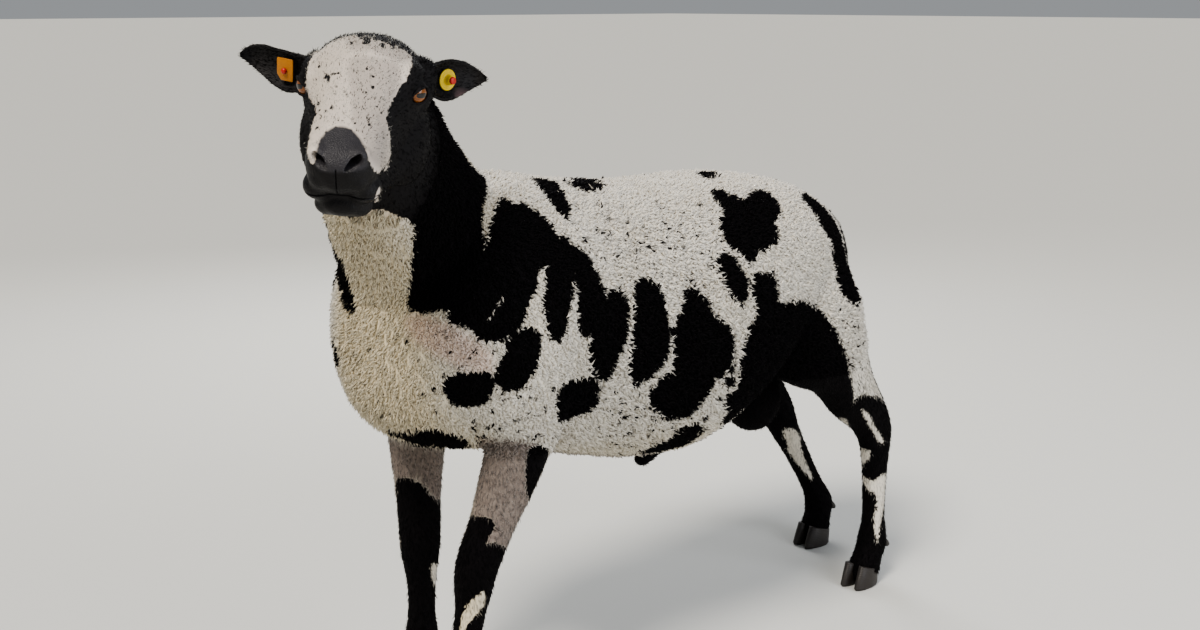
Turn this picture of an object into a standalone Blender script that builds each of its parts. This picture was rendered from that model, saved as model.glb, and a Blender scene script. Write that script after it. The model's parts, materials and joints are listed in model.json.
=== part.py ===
"""Dutch spotted sheep: a standing ram at life size, its head turned to its left.

The sheep faces -Y, its left side is +X and it stands on the ground at z = 0.
Every form is a loft through a few named sections. The fleece is rounded clumps
set close on a core, and thin plane cuts part the animal where its parts have names.
"""
import math
import random

import bmesh
import bpy
import numpy as np
from mathutils import Matrix, Vector
from mathutils.bvhtree import BVHTree

# Driving sizes, in metres
SHIFT = Vector((-0.0385, 0.0105, 0.0))  # moves the origin under the middle of the bounding box
GAP = 0.0003  # between neighbouring parts
CORE_DEPTH = 0.008  # from the tips of the fleece down to the core
BODY_VOXEL = 0.006
HEAD_VOXEL = 0.0026
BODY_TRIANGLES = 2800
CLUMPED_TRIANGLES = 8200  # the whole body once its clumps are united
HEAD_TRIANGLES = 2300
MERGE = 0.00005  # vertices nearer than this are one
CLUMP_SPACING = 0.074
CLUMP_SIZES = (0.052, 0.057, 0.062)  # radius of a small, middle and large clump
CLUMP_SIDES = 7
CLUMP_ROOT = 0.007  # how far a clump's rim is sunk in the core
SEED = 2

# Head: its frame is (left, forward, up) from a point midway between the eyes
HEAD_PLACE = Vector((0.160, -0.540, 0.909))
HEAD_YAW = 46.0  # degrees to the animal's left
HEAD_PITCH = 21.3  # degrees nose down
HEAD_ROLL = 4.5
EYE_PLACE = (0.0580, -0.003, 0.003)
EYE_RADIUS = 0.0148
EYE_YAW = 50.0  # degrees from forward out to the side
EYE_RISE = 4.0
LID_DEPTH = 0.0020
EYE_OPENING = (0.0132, 0.0088)  # half length and half height of the opening

# Torso sections: y, half width, top, bottom, squareness
TORSO = (
    (-0.450, 0.060, 0.625, 0.500, 2.0),
    (-0.430, 0.112, 0.680, 0.455, 2.1),
    (-0.390, 0.160, 0.730, 0.425, 2.2),
    (-0.320, 0.180, 0.770, 0.403, 2.3),
    (-0.240, 0.184, 0.785, 0.390, 2.3),
    (-0.140, 0.180, 0.769, 0.358, 2.3),
    (-0.030, 0.190, 0.755, 0.330, 2.3),
    (0.070, 0.200, 0.752, 0.325, 2.3),
    (0.170, 0.193, 0.752, 0.362, 2.3),
    (0.270, 0.172, 0.742, 0.430, 2.3),
    (0.350, 0.145, 0.722, 0.455, 2.3),
    (0.420, 0.103, 0.688, 0.480, 2.3),
    (0.465, 0.068, 0.648, 0.500, 2.2),
    (0.488, 0.038, 0.600, 0.530, 2.0),
)

# Other flesh forms: centre, half width, front or upper half, back or lower half
NECK = (
    ((-0.008, -0.240, 0.590), 0.132, 0.175, 0.165),
    ((-0.006, -0.320, 0.660), 0.124, 0.150, 0.140),
    ((0.018, -0.385, 0.735), 0.104, 0.118, 0.112),
    ((0.056, -0.440, 0.805), 0.088, 0.094, 0.094),
    ((0.092, -0.478, 0.862), 0.076, 0.080, 0.082),
    ((0.118, -0.504, 0.895), 0.050, 0.045, 0.050),
)
SHOULDER = (
    ((0.105, -0.200, 0.700), 0.050, 0.050, 0.060),
    ((0.125, -0.250, 0.610), 0.062, 0.095, 0.090),
    ((0.125, -0.290, 0.530), 0.062, 0.100, 0.090),
    ((0.118, -0.270, 0.460), 0.050, 0.065, 0.070),
)
FORELEG_LEFT = (
    ((0.120, -0.262, 0.500), 0.050, 0.070, 0.055),
    ((0.112, -0.268, 0.440), 0.042, 0.058, 0.038),
    ((0.100, -0.290, 0.375), 0.034, 0.045, 0.040),
    ((0.088, -0.312, 0.310), 0.028, 0.035, 0.033),
    ((0.079, -0.330, 0.258), 0.029, 0.031, 0.030),
    ((0.076, -0.335, 0.225), 0.026, 0.028, 0.026),
    ((0.073, -0.342, 0.180), 0.0195, 0.021, 0.022),
    ((0.068, -0.352, 0.120), 0.0190, 0.020, 0.022),
    ((0.064, -0.360, 0.080), 0.0250, 0.026, 0.028),
    ((0.062, -0.368, 0.055), 0.0240, 0.024, 0.026),
    ((0.060, -0.376, 0.030), 0.0260, 0.028, 0.028),
    ((0.060, -0.380, 0.012), 0.0200, 0.024, 0.024),
    ((0.060, -0.380, 0.004), 0.0080, 0.010, 0.010),
)
FORELEG_RIGHT = (
    ((-0.116, -0.268, 0.500), 0.050, 0.070, 0.060),
    ((-0.112, -0.284, 0.440), 0.043, 0.060, 0.044),
    ((-0.103, -0.297, 0.375), 0.034, 0.046, 0.040),
    ((-0.092, -0.307, 0.305), 0.028, 0.035, 0.034),
    ((-0.084, -0.312, 0.245), 0.029, 0.031, 0.030),
    ((-0.084, -0.312, 0.212), 0.026, 0.028, 0.026),
    ((-0.085, -0.312, 0.170), 0.0195, 0.021, 0.022),
    ((-0.086, -0.313, 0.118), 0.0190, 0.020, 0.022),
    ((-0.087, -0.315, 0.080), 0.0250, 0.026, 0.028),
    ((-0.088, -0.323, 0.055), 0.0240, 0.024, 0.026),
    ((-0.088, -0.332, 0.030), 0.0260, 0.028, 0.028),
    ((-0.088, -0.336, 0.012), 0.0200, 0.024, 0.024),
    ((-0.088, -0.336, 0.004), 0.0080, 0.010, 0.010),
)
HINDLEG_LEFT = (
    ((0.080, 0.320, 0.620), 0.055, 0.110, 0.095),
    ((0.098, 0.312, 0.550), 0.064, 0.130, 0.108),
    ((0.112, 0.325, 0.480), 0.060, 0.100, 0.118),
    ((0.120, 0.375, 0.415), 0.046, 0.050, 0.084),
    ((0.117, 0.428, 0.360), 0.034, 0.044, 0.060),
    ((0.114, 0.480, 0.312), 0.027, 0.034, 0.046),
    ((0.112, 0.508, 0.275), 0.024, 0.035, 0.038),
    ((0.111, 0.514, 0.235), 0.021, 0.028, 0.028),
    ((0.110, 0.517, 0.180), 0.0185, 0.023, 0.023),
    ((0.109, 0.520, 0.115), 0.0180, 0.022, 0.023),
    ((0.108, 0.520, 0.075), 0.0250, 0.026, 0.028),
    ((0.109, 0.510, 0.052), 0.0240, 0.024, 0.026),
    ((0.110, 0.500, 0.030), 0.0260, 0.028, 0.028),
    ((0.110, 0.496, 0.012), 0.0200, 0.024, 0.024),
    ((0.110, 0.496, 0.004), 0.0080, 0.010, 0.010),
)
HINDLEG_RIGHT = (
    ((-0.080, 0.320, 0.620), 0.055, 0.110, 0.095),
    ((-0.098, 0.305, 0.550), 0.064, 0.130, 0.108),
    ((-0.112, 0.312, 0.480), 0.060, 0.100, 0.118),
    ((-0.114, 0.355, 0.415), 0.046, 0.050, 0.082),
    ((-0.108, 0.408, 0.362), 0.034, 0.044, 0.058),
    ((-0.100, 0.458, 0.315), 0.027, 0.034, 0.044),
    ((-0.094, 0.490, 0.272), 0.024, 0.034, 0.037),
    ((-0.091, 0.514, 0.230), 0.021, 0.027, 0.028),
    ((-0.088, 0.548, 0.175), 0.0185, 0.022, 0.023),
    ((-0.085, 0.586, 0.112), 0.0180, 0.021, 0.022),
    ((-0.082, 0.604, 0.074), 0.0250, 0.026, 0.028),
    ((-0.078, 0.597, 0.050), 0.0240, 0.024, 0.026),
    ((-0.073, 0.586, 0.030), 0.0260, 0.028, 0.028),
    ((-0.071, 0.582, 0.012), 0.0200, 0.024, 0.024),
    ((-0.071, 0.582, 0.004), 0.0080, 0.010, 0.010),
)
SCROTUM = (
    ((0.0, 0.322, 0.500), 0.030, 0.028, 0.028),
    ((0.0, 0.320, 0.450), 0.032, 0.028, 0.028),
    ((0.0, 0.315, 0.405), 0.046, 0.036, 0.036),
    ((0.0, 0.312, 0.360), 0.055, 0.044, 0.044),
    ((0.0, 0.310, 0.325), 0.046, 0.037, 0.037),
    ((0.0, 0.310, 0.305), 0.026, 0.022, 0.022),
    ((0.0, 0.310, 0.298), 0.008, 0.007, 0.007),
)
SHEATH = (
    ((0.0, 0.160, 0.375), 0.019, 0.019, 0.019),
    ((0.0, 0.115, 0.340), 0.019, 0.019, 0.019),
    ((0.0, 0.078, 0.318), 0.017, 0.017, 0.017),
    ((0.0, 0.054, 0.302), 0.013, 0.013, 0.013),
    ((0.0, 0.046, 0.296), 0.007, 0.007, 0.007),
)
TAIL = (
    ((0.0, 0.445, 0.652), 0.026, 0.016, 0.016),
    ((0.0, 0.488, 0.636), 0.028, 0.016, 0.016),
    ((0.0, 0.514, 0.598), 0.028, 0.015, 0.015),
    ((0.0, 0.527, 0.555), 0.025, 0.014, 0.014),
    ((0.0, 0.533, 0.515), 0.019, 0.012, 0.012),
    ((0.0, 0.534, 0.490), 0.008, 0.006, 0.006),
)

# Head sections: forward, half width, top, bottom, squareness
SKULL = (
    (-0.108, 0.032, 0.008, -0.045, 2.0),
    (-0.088, 0.054, 0.030, -0.070, 2.2),
    (-0.055, 0.066, 0.047, -0.085, 2.3),
    (-0.022, 0.068, 0.051, -0.085, 2.3),
    (0.010, 0.063, 0.046, -0.080, 2.4),
    (0.040, 0.053, 0.037, -0.075, 2.5),
    (0.070, 0.046, 0.027, -0.070, 2.5),
    (0.095, 0.042, 0.019, -0.066, 2.5),
    (0.120, 0.040, 0.010, -0.060, 2.4),
    (0.140, 0.036, 0.003, -0.054, 2.3),
    (0.152, 0.028, -0.003, -0.048, 2.2),
    (0.160, 0.014, -0.012, -0.040, 2.0),
)
JAW = (
    (-0.085, 0.036, -0.045, -0.100, 2.0),
    (-0.062, 0.056, -0.030, -0.117, 2.2),
    (-0.030, 0.064, -0.030, -0.123, 2.3),
    (0.000, 0.062, -0.030, -0.119, 2.3),
    (0.035, 0.052, -0.030, -0.109, 2.3),
    (0.070, 0.041, -0.040, -0.099, 2.2),
    (0.100, 0.034, -0.045, -0.093, 2.2),
    (0.122, 0.031, -0.050, -0.088, 2.2),
    (0.138, 0.025, -0.056, -0.083, 2.1),
    (0.147, 0.014, -0.062, -0.076, 2.0),
)
# Swellings on each side of the head: place, radii, turn about up (degrees)
BROAD_SWELLINGS = (
    ((0.046, -0.020, -0.066), (0.029, 0.062, 0.052), 0.0),  # cheek
    ((0.050, -0.008, 0.020), (0.019, 0.032, 0.013), -10.0),  # brow
    ((0.058, -0.036, -0.018), (0.017, 0.046, 0.018), -6.0),  # cheekbone
    ((0.058, -0.060, -0.004), (0.021, 0.022, 0.024), 0.0),  # ear root
)
FINE_SWELLINGS = (
    ((0.021, 0.124, -0.050), (0.021, 0.026, 0.017), 20.0),  # upper lip
    ((0.021, 0.138, -0.006), (0.013, 0.014, 0.009), 25.0),  # wing of the nostril
    ((0.014, 0.122, -0.074), (0.018, 0.020, 0.013), 15.0),  # lower lip
)

# Ears: root in the head's frame, way to the tip, way the cup opens, sag of the middle
EAR_LEFT = ((0.064, -0.057, -0.006), (0.64, -0.70, -0.27), (0.74, 0.62, 0.20), 0.002)
EAR_RIGHT = ((-0.064, -0.057, -0.006), (-0.93, -0.35, -0.05), (-0.30, 0.92, 0.18), 0.010)
EAR_LENGTH = 0.110
# Ear sections along its length: half width, roll of the cup (degrees), wall, hollow
EAR = (
    (0.00, 0.017, 150.0, 0.0060, 0.00),
    (0.12, 0.019, 170.0, 0.0050, 0.10),
    (0.25, 0.023, 165.0, 0.0036, 0.85),
    (0.42, 0.025, 135.0, 0.0030, 1.00),
    (0.60, 0.022, 110.0, 0.0026, 1.00),
    (0.78, 0.018, 85.0, 0.0024, 1.00),
    (0.92, 0.010, 70.0, 0.0022, 1.00),
    (1.00, 0.004, 60.0, 0.0018, 1.00),
)

TAG_DEPTH = {"left": 0.0175, "right": 0.0150}  # of a tag's back below the cup's centre
EAR_BACK = 0.0280  # of the ear's back below the same centre, with the gap

# Feet: middle of the sole, heading in degrees from -Y towards the sheep's left
FEET = {
    "left_fore": ((0.060, -0.390), 6.0),
    "right_fore": ((-0.088, -0.346), -6.0),
    "left_hind": ((0.110, 0.486), 4.0),
    "right_hind": ((-0.070, 0.572), -4.0),
}
CLAW_WIDTH = 0.0255
CLAW_GAP = 0.0030
CORONET = 0.036
CORONET_SLOPE = -16.0

# Cuts: a point on the plane and the way into the part
HEAD_CUT = ((0.0, -0.075, -0.085), (-0.12, 0.85, 0.51))  # in the head's frame
NECK_CUT = ((0.000, -0.330, 0.650), (0.10, -0.72, 0.69))
# Leg cuts add the range in x at the top, at the floor, and the range in y
LEG_CUTS = {
    "left_fore": ((0.105, -0.280, 0.394), (0.0, -0.06, -1.0), (0.052, 0.25), (0.001, 0.25), (-0.50, -0.12)),
    "right_fore": ((-0.105, -0.290, 0.394), (0.0, -0.04, -1.0), (-0.25, -0.052), (-0.25, -0.001), (-0.50, -0.12)),
    "left_hind": ((0.120, 0.395, 0.385), (0.0, 0.55, -0.83), (0.010, 0.25), (0.001, 0.25), (0.20, 0.75)),
    "right_hind": ((-0.113, 0.380, 0.385), (0.0, 0.55, -0.83), (-0.25, -0.010), (-0.25, -0.001), (0.20, 0.75)),
}


def unit(vector):
    return Vector(vector).normalized()


def head_matrix():
    """From (left, forward, up) in the head to the sheep's frame."""
    turn = Matrix.Rotation(math.radians(HEAD_YAW), 3, "Z")
    turn = turn @ Matrix.Rotation(math.radians(HEAD_PITCH), 3, "X")
    turn = turn @ Matrix.Rotation(math.radians(HEAD_ROLL), 3, "Y")
    axes = Matrix(((1, 0, 0), (0, -1, 0), (0, 0, 1)))
    return Matrix.Translation(HEAD_PLACE) @ (turn @ axes).to_4x4()


HEAD = head_matrix()


def in_head(point):
    return HEAD @ Vector(point)


def head_way(vector):
    return (HEAD.to_3x3() @ Vector(vector)).normalized()


def add_mesh(name, vertices, faces):
    """A new mesh object whose faces point outwards."""
    mesh = bpy.data.meshes.new(name)
    mesh.from_pydata([tuple(v) for v in vertices], [], faces)
    work = bmesh.new()
    work.from_mesh(mesh)
    bmesh.ops.recalc_face_normals(work, faces=work.faces)
    work.to_mesh(mesh)
    work.free()
    obj = bpy.data.objects.new(name, mesh)
    bpy.context.scene.collection.objects.link(obj)
    return obj


def smooth_rows(rows, steps):
    """Catmull-Rom curve through rows of numbers, with steps between two rows."""
    rows = np.array(rows, dtype=float)
    padded = np.vstack([2 * rows[0] - rows[1], rows, 2 * rows[-1] - rows[-2]])
    result = []
    for i in range(1, len(padded) - 2):
        before, start, end, after = padded[i - 1:i + 3]
        for step in range(steps):
            t = step / steps
            result.append(
                0.5
                * (
                    2 * start
                    + (end - before) * t
                    + (2 * before - 5 * start + 4 * end - after) * t ** 2
                    + (3 * start - before - 3 * end + after) * t ** 3
                )
            )
    result.append(rows[-1])
    return np.array(result)


def oval(half, up, down, power, sides):
    """Points of a rounded section as pairs (across, up)."""
    angles = np.arange(sides) * 2 * math.pi / sides
    across = half * np.sign(np.cos(angles)) * np.abs(np.cos(angles)) ** (2 / power)
    rise = np.sign(np.sin(angles)) * np.abs(np.sin(angles)) ** (2 / power)
    rise = np.where(rise > 0, rise * up, rise * down)
    return np.column_stack([across, rise])


def skin_rings(name, rings):
    """Closed body through rings of equal count, with flat ends."""
    count = len(rings[0])
    faces = []
    for i in range(len(rings) - 1):
        for j in range(count):
            k = (j + 1) % count
            faces.append((i * count + j, i * count + k, (i + 1) * count + k, (i + 1) * count + j))
    faces.append(tuple(reversed(range(count))))
    faces.append(tuple((len(rings) - 1) * count + j for j in range(count)))
    return add_mesh(name, [p for ring in rings for p in ring], faces)


def torso_form(name, inset, sides=40, steps=4):
    rings = []
    for y, half, top, bottom, power in smooth_rows(TORSO, steps):
        middle = (top + bottom) / 2
        tall = max((top - bottom) / 2 - inset, 0.004)
        section = oval(max(half - inset, 0.004), tall, tall, power, sides)
        rings.append([(x, y, middle + z) for x, z in section])
    return skin_rings(name, rings)


def limb_form(name, sections, inset=0.0, side=(1, 0, 0), sides=20, steps=4, power=2.0):
    """Loft along a bent path. The section's width lies along side, and its front half
    faces -Y on a leg that runs down, or up on the neck."""
    rows = [(*centre, half, front, back) for centre, half, front, back in sections]
    rows = smooth_rows(rows, steps)
    centres = rows[:, :3]
    ways = np.gradient(centres, axis=0)
    rings = []
    for centre, way, (half, front, back) in zip(centres, ways, rows[:, 3:]):
        way = unit(way)
        across = unit(Vector(side) - way * Vector(side).dot(way))
        ahead = way.cross(across)
        section = oval(
            max(half - inset, 0.003), max(front - inset, 0.003), max(back - inset, 0.003), power, sides
        )
        rings.append([Vector(centre) + across * a + ahead * b for a, b in section])
    return skin_rings(name, rings)


def head_loft(name, sections, sides=32, steps=4):
    rings = []
    for forward, half, top, bottom, power in smooth_rows(sections, steps):
        middle = (top + bottom) / 2
        tall = max((top - bottom) / 2, 0.003)
        section = oval(max(half, 0.003), tall, tall, power, sides)
        rings.append([in_head((x, forward, middle + z)) for x, z in section])
    return skin_rings(name, rings)


def ball(name, matrix, segments=20, rings=12):
    """Sphere of radius one, placed by a matrix."""
    work = bmesh.new()
    bmesh.ops.create_uvsphere(work, u_segments=segments, v_segments=rings, radius=1.0)
    bmesh.ops.transform(work, matrix=matrix, verts=work.verts)
    bmesh.ops.recalc_face_normals(work, faces=work.faces)
    mesh = bpy.data.meshes.new(name)
    work.to_mesh(mesh)
    work.free()
    obj = bpy.data.objects.new(name, mesh)
    bpy.context.scene.collection.objects.link(obj)
    return obj


def head_ball(name, place, radii, turn=0.0, segments=20, rings=12):
    matrix = HEAD @ Matrix.Translation(place)
    matrix = matrix @ Matrix.Rotation(math.radians(turn), 4, "Z")
    return ball(name, matrix @ Matrix.Diagonal((*radii, 1.0)), segments, rings)


def mirrored(place, side):
    return (place[0] * side, place[1], place[2])


def remove(obj):
    mesh = obj.data
    bpy.data.objects.remove(obj)
    if mesh.users == 0:
        bpy.data.meshes.remove(mesh)


def apply_modifier(obj, kind, **settings):
    modifier = obj.modifiers.new(kind.title(), kind)
    for key, value in settings.items():
        setattr(modifier, key, value)
    with bpy.context.temp_override(object=obj, active_object=obj):
        bpy.ops.object.modifier_apply(modifier=modifier.name)


def join(objects, name):
    """One mesh from several closed ones, for a remesh to fuse."""
    work = bmesh.new()
    for obj in objects:
        work.from_mesh(obj.data)
    mesh = bpy.data.meshes.new(name)
    work.to_mesh(mesh)
    work.free()
    for obj in objects:
        remove(obj)
    result = bpy.data.objects.new(name, mesh)
    bpy.context.scene.collection.objects.link(result)
    return result


def copy_of(obj, name):
    result = bpy.data.objects.new(name, obj.data.copy())
    bpy.context.scene.collection.objects.link(result)
    return result


def cut(obj, cutter, operation="DIFFERENCE", solver="MANIFOLD"):
    apply_modifier(obj, "BOOLEAN", operation=operation, object=cutter, solver=solver)


def keep_largest(obj):
    """Drops all but the closed surface of most volume."""
    work = bmesh.new()
    work.from_mesh(obj.data)
    left = set(work.verts)
    groups = []
    while left:
        group = {left.pop()}
        edge = list(group)
        while edge:
            vertex = edge.pop()
            for link in vertex.link_edges:
                other = link.other_vert(vertex)
                if other not in group:
                    group.add(other)
                    edge.append(other)
        left -= group
        groups.append(group)
    groups.sort(key=len)
    loose = [v for group in groups[:-1] for v in group]
    bmesh.ops.delete(work, geom=loose, context="VERTS")
    work.to_mesh(obj.data)
    work.free()


def slab(name, point, way, width, depth, back=0.0):
    """Box with one face on the plane through point, reaching depth along way."""
    matrix = Matrix.Translation(Vector(point) - unit(way) * back)
    matrix = matrix @ unit(way).to_track_quat("Z", "Y").to_matrix().to_4x4()
    matrix = matrix @ Matrix.Translation((0, 0, depth / 2))
    matrix = matrix @ Matrix.Diagonal((width, width, depth, 1.0))
    work = bmesh.new()
    bmesh.ops.create_cube(work, size=1.0, matrix=matrix)
    mesh = bpy.data.meshes.new(name)
    work.to_mesh(mesh)
    work.free()
    obj = bpy.data.objects.new(name, mesh)
    bpy.context.scene.collection.objects.link(obj)
    return obj


def column(name, point, way, top_x, floor_x, y_range, extra=0.0):
    """Block from below the floor up to a sloping plane, for the cut of a leg."""
    point = Vector(point) - unit(way) * extra
    corners = []
    for x_range, top in ((floor_x, False), (top_x, True)):
        for x, y in ((0, 0), (1, 0), (1, 1), (0, 1)):
            place_x = x_range[x] + (extra if x else -extra)
            place_y = y_range[y] + (extra if y else -extra)
            z = point.z - (way[0] * (place_x - point.x) + way[1] * (place_y - point.y)) / way[2]
            corners.append((place_x, place_y, z if top else -0.05 - extra))
    faces = [(0, 3, 2, 1), (4, 5, 6, 7)]
    faces += [(i, (i + 1) % 4, (i + 1) % 4 + 4, i + 4) for i in range(4)]
    return add_mesh(name, corners, faces)


def take(whole, name, inside, outside):
    """Cuts the part inside one block off whole, less the slightly larger outside block."""
    part = copy_of(whole, name)
    cut(part, inside, "INTERSECT")
    cut(whole, outside)
    for block in (inside, outside):
        remove(block)
    keep_largest(part)
    keep_largest(whole)
    return part


def take_beyond(whole, name, point, way, width, depth):
    """Cuts off the part beyond a plane."""
    inside = slab("cutter", point, way, width, depth)
    outside = slab("cutter", point, way, width + 2 * GAP, depth + 2 * GAP, back=GAP)
    return take(whole, name, inside, outside)


def grown(obj, name, amount):
    """Copy whose surface lies further out."""
    result = copy_of(obj, name)
    mesh = result.data
    normals = [v.normal.copy() for v in mesh.vertices]
    for vertex, normal in zip(mesh.vertices, normals):
        vertex.co += normal * amount
    return result


def make_room(obj, part, amount=GAP * 1.3):
    """A pocket in obj for a part that is sunk in it."""
    pocket = grown(part, "pocket", amount)
    cut(obj, pocket)
    remove(pocket)


def fuse(obj, voxel, turns):
    """Fuses overlapping forms into one skin and smooths where they meet."""
    apply_modifier(obj, "REMESH", mode="VOXEL", voxel_size=voxel)
    apply_modifier(obj, "SMOOTH", factor=0.5, iterations=turns)


def thin_out(obj, triangles):
    """Fewer triangles on the same surface."""
    work = bmesh.new()
    work.from_mesh(obj.data)
    bmesh.ops.remove_doubles(work, verts=work.verts, dist=MERGE)
    bmesh.ops.dissolve_degenerate(work, edges=work.edges, dist=MERGE)
    bmesh.ops.triangulate(work, faces=work.faces)
    work.to_mesh(obj.data)
    work.free()
    apply_modifier(obj, "DECIMATE", ratio=triangles / len(obj.data.polygons))


def flesh_lofts(inset):
    """Torso, neck and limbs before they are fused."""
    lofts = [torso_form("torso_loft", inset)]
    lofts.append(neck_form(inset * 0.5))
    for side in (1, -1):
        sections = [(mirrored(c, side), a, b, d) for c, a, b, d in SHOULDER]
        lofts.append(limb_form("shoulder_loft", sections, inset, sides=20))
    for sections in (FORELEG_LEFT, FORELEG_RIGHT, HINDLEG_LEFT, HINDLEG_RIGHT):
        lofts.append(limb_form("leg_loft", sections, sides=20))
    return lofts


def head_lofts():
    """Skull, jaw and broad swellings of the head before they are fused."""
    lofts = [head_loft("skull_loft", SKULL), head_loft("jaw_loft", JAW)]
    for side in (1, -1):
        for place, radii, turn in BROAD_SWELLINGS:
            lofts.append(head_ball("swelling", mirrored(place, side), radii, turn * -side))
    return lofts


def head_details():
    """Lips, nostril wings and lids, fused with the head in a second turn."""
    forms = []
    for side in (1, -1):
        for place, radii, turn in FINE_SWELLINGS:
            forms.append(head_ball("swelling", mirrored(place, side), radii, turn * -side))
        radius = EYE_RADIUS + LID_DEPTH
        forms.append(head_ball("lids", mirrored(EYE_PLACE, side), (radius,) * 3))
    return forms


def neck_form(inset):
    return limb_form("neck_loft", NECK, inset, sides=28, side=(0.8, 0.6, 0))


def eye_matrix(side):
    """From the eye's frame, with +Z out of the pupil and X along the opening."""
    yaw = math.radians(EYE_YAW)
    rise = math.radians(EYE_RISE)
    out = Vector((side * math.sin(yaw), math.cos(yaw), math.sin(rise))).normalized()
    along = Vector((side * -math.cos(yaw), math.sin(yaw), -0.22)).normalized()
    along = (along - out * along.dot(out)).normalized()
    across = out.cross(along)
    turn = Matrix((along, across, out)).transposed().to_4x4()
    return HEAD @ Matrix.Translation(mirrored(EYE_PLACE, side)) @ turn


def eyeball(name, side, extra=0.0):
    return ball(name, eye_matrix(side) @ Matrix.Scale(EYE_RADIUS + extra, 4), 12, 8)


def eye_opening(side, count=18):
    """Almond prism that opens the lids."""
    long_half, high_half = EYE_OPENING
    rings = []
    for depth, scale in ((0.004, 0.8), (0.030, 1.35)):
        ring = []
        for i in range(count):
            angle = 2 * math.pi * i / count
            rise = math.sin(angle)
            x = long_half * math.cos(angle)
            y = high_half * rise * (1 - 0.16 * abs(math.cos(angle)))
            ring.append(eye_matrix(side) @ Vector((x * scale, y * scale, depth)))
        rings.append(ring)
    return skin_rings("opening", rings)


def muzzle_point(tree, angle, level):
    """Point of the muzzle's surface seen from inside it, at an angle from forward."""
    start = Vector((0.0, 0.080, level))
    way = Vector((math.sin(angle), math.cos(angle), 0.0))
    far = in_head(start + way * 0.15)
    hit = tree.ray_cast(far, -head_way(way))
    return HEAD.inverted() @ hit[0], way


def mouth_groove(tree):
    """Thin wedge along the line of the mouth."""
    rings = []
    for i in range(25):
        share = (i - 12) / 12
        angle = share * math.radians(82)
        level = -0.0525 - 0.012 * share ** 2
        point, way = muzzle_point(tree, angle, level)
        deep = 0.0042 * (1 - 0.45 * abs(share))
        wide = 0.0016 * (1 - 0.35 * abs(share))
        inner = point - way * deep
        outer = point + way * 0.006
        ring = [
            inner + Vector((0, 0, -0.0003)),
            outer + Vector((0, 0, -wide * 1.8)),
            outer + Vector((0, 0, wide * 1.8)),
            inner + Vector((0, 0, 0.0003)),
        ]
        rings.append([in_head(p) for p in ring])
    return skin_rings("mouth", rings)


def philtrum_groove(tree):
    """Upright groove from the nostrils to the mouth."""
    rings = []
    for i in range(7):
        level = -0.014 - 0.0380 * i / 6
        point, way = muzzle_point(tree, 0.0, level)
        inner = point - way * 0.0026
        outer = point + way * 0.005
        ring = [
            inner + Vector((-0.0002, 0, 0)),
            outer + Vector((-0.0022, 0, 0)),
            outer + Vector((0.0022, 0, 0)),
            inner + Vector((0.0002, 0, 0)),
        ]
        rings.append([in_head(p) for p in ring])
    return skin_rings("philtrum", rings)


def nostril(side):
    """Comma-shaped hollow that runs back and up into the muzzle."""
    rings = []
    for depth, scale in ((0.012, 1.15), (0.0, 1.0), (-0.010, 0.75), (-0.018, 0.35)):
        middle = Vector((0.0155 * side, 0.151 + depth, -0.0085 - depth * 0.1))
        middle.x += side * depth * 0.45
        ring = []
        for i in range(12):
            angle = 2 * math.pi * i / 12
            x = 0.0085 * math.cos(angle)
            y = 0.0036 * math.sin(angle) * (1.0 + 0.35 * math.cos(angle))
            lean = math.radians(24)
            across = x * math.cos(lean) - y * math.sin(lean)
            rise = x * math.sin(lean) + y * math.cos(lean)
            ring.append(in_head(middle + Vector((side * across * scale, 0, rise * scale))))
        rings.append(ring)
    return skin_rings("nostril", rings)


def ear_form(name, ear):
    """Cupped leaf: each section is an arc with a wall, closed at its edges."""
    root, tip_way, open_way, sag = ear
    along = head_way(tip_way)
    opening = head_way(open_way)
    opening = (opening - along * opening.dot(along)).normalized()
    across = along.cross(opening)
    rings = []
    count = 7
    for share, half, roll, wall, hollow in smooth_rows(EAR, 2):
        angle = math.radians(roll) / 2
        radius = half / math.sin(min(angle, math.radians(90)))
        centre = in_head(root) + along * (share * EAR_LENGTH)
        centre = centre - opening * (0.05 * EAR_LENGTH * share ** 2)
        centre.z -= sag * math.sin(math.pi * min(share, 1.0))
        outer = []
        inner = []
        for i in range(count):
            turn = angle * (2 * i / (count - 1) - 1)
            way = -opening * math.cos(turn) + across * math.sin(turn)
            mouth = across * (radius * math.sin(turn)) - opening * (radius * math.cos(angle))
            back = way * radius
            outer.append(centre + back)
            deep = way * (radius - wall)
            inner.append(centre + deep * hollow + mouth * (1 - hollow) * 0.93)
        rings.append(outer + inner[::-1])
    return skin_rings(name, rings)


def claw_form(name, foot, side):
    """One half of a cloven hoof, flat below, with a sloping front wall."""
    (x, y), heading = FEET[foot]
    place = Matrix.Translation((x, y, 0)) @ Matrix.Rotation(math.radians(heading), 4, "Z")
    half = CLAW_WIDTH / 2
    middle = side * (half + CLAW_GAP / 2)
    rings = []
    profile = (
        (0.000, 0.90, 0.031, 0.027),
        (0.003, 1.00, 0.033, 0.029),
        (0.020, 0.97, 0.027, 0.030),
        (0.050, 0.86, 0.014, 0.032),
    )
    for z, wide, front, back in profile:
        section = oval(half * wide, back, front, 2.4, 12)
        ring = []
        for a, b in section:
            taper = 1 - 0.35 * max(-b / front, 0) ** 2
            ring.append(place @ Vector((middle + side * 0.0 + a * taper, b, z)))
        rings.append(ring)
    return skin_rings(name, rings)


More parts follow.
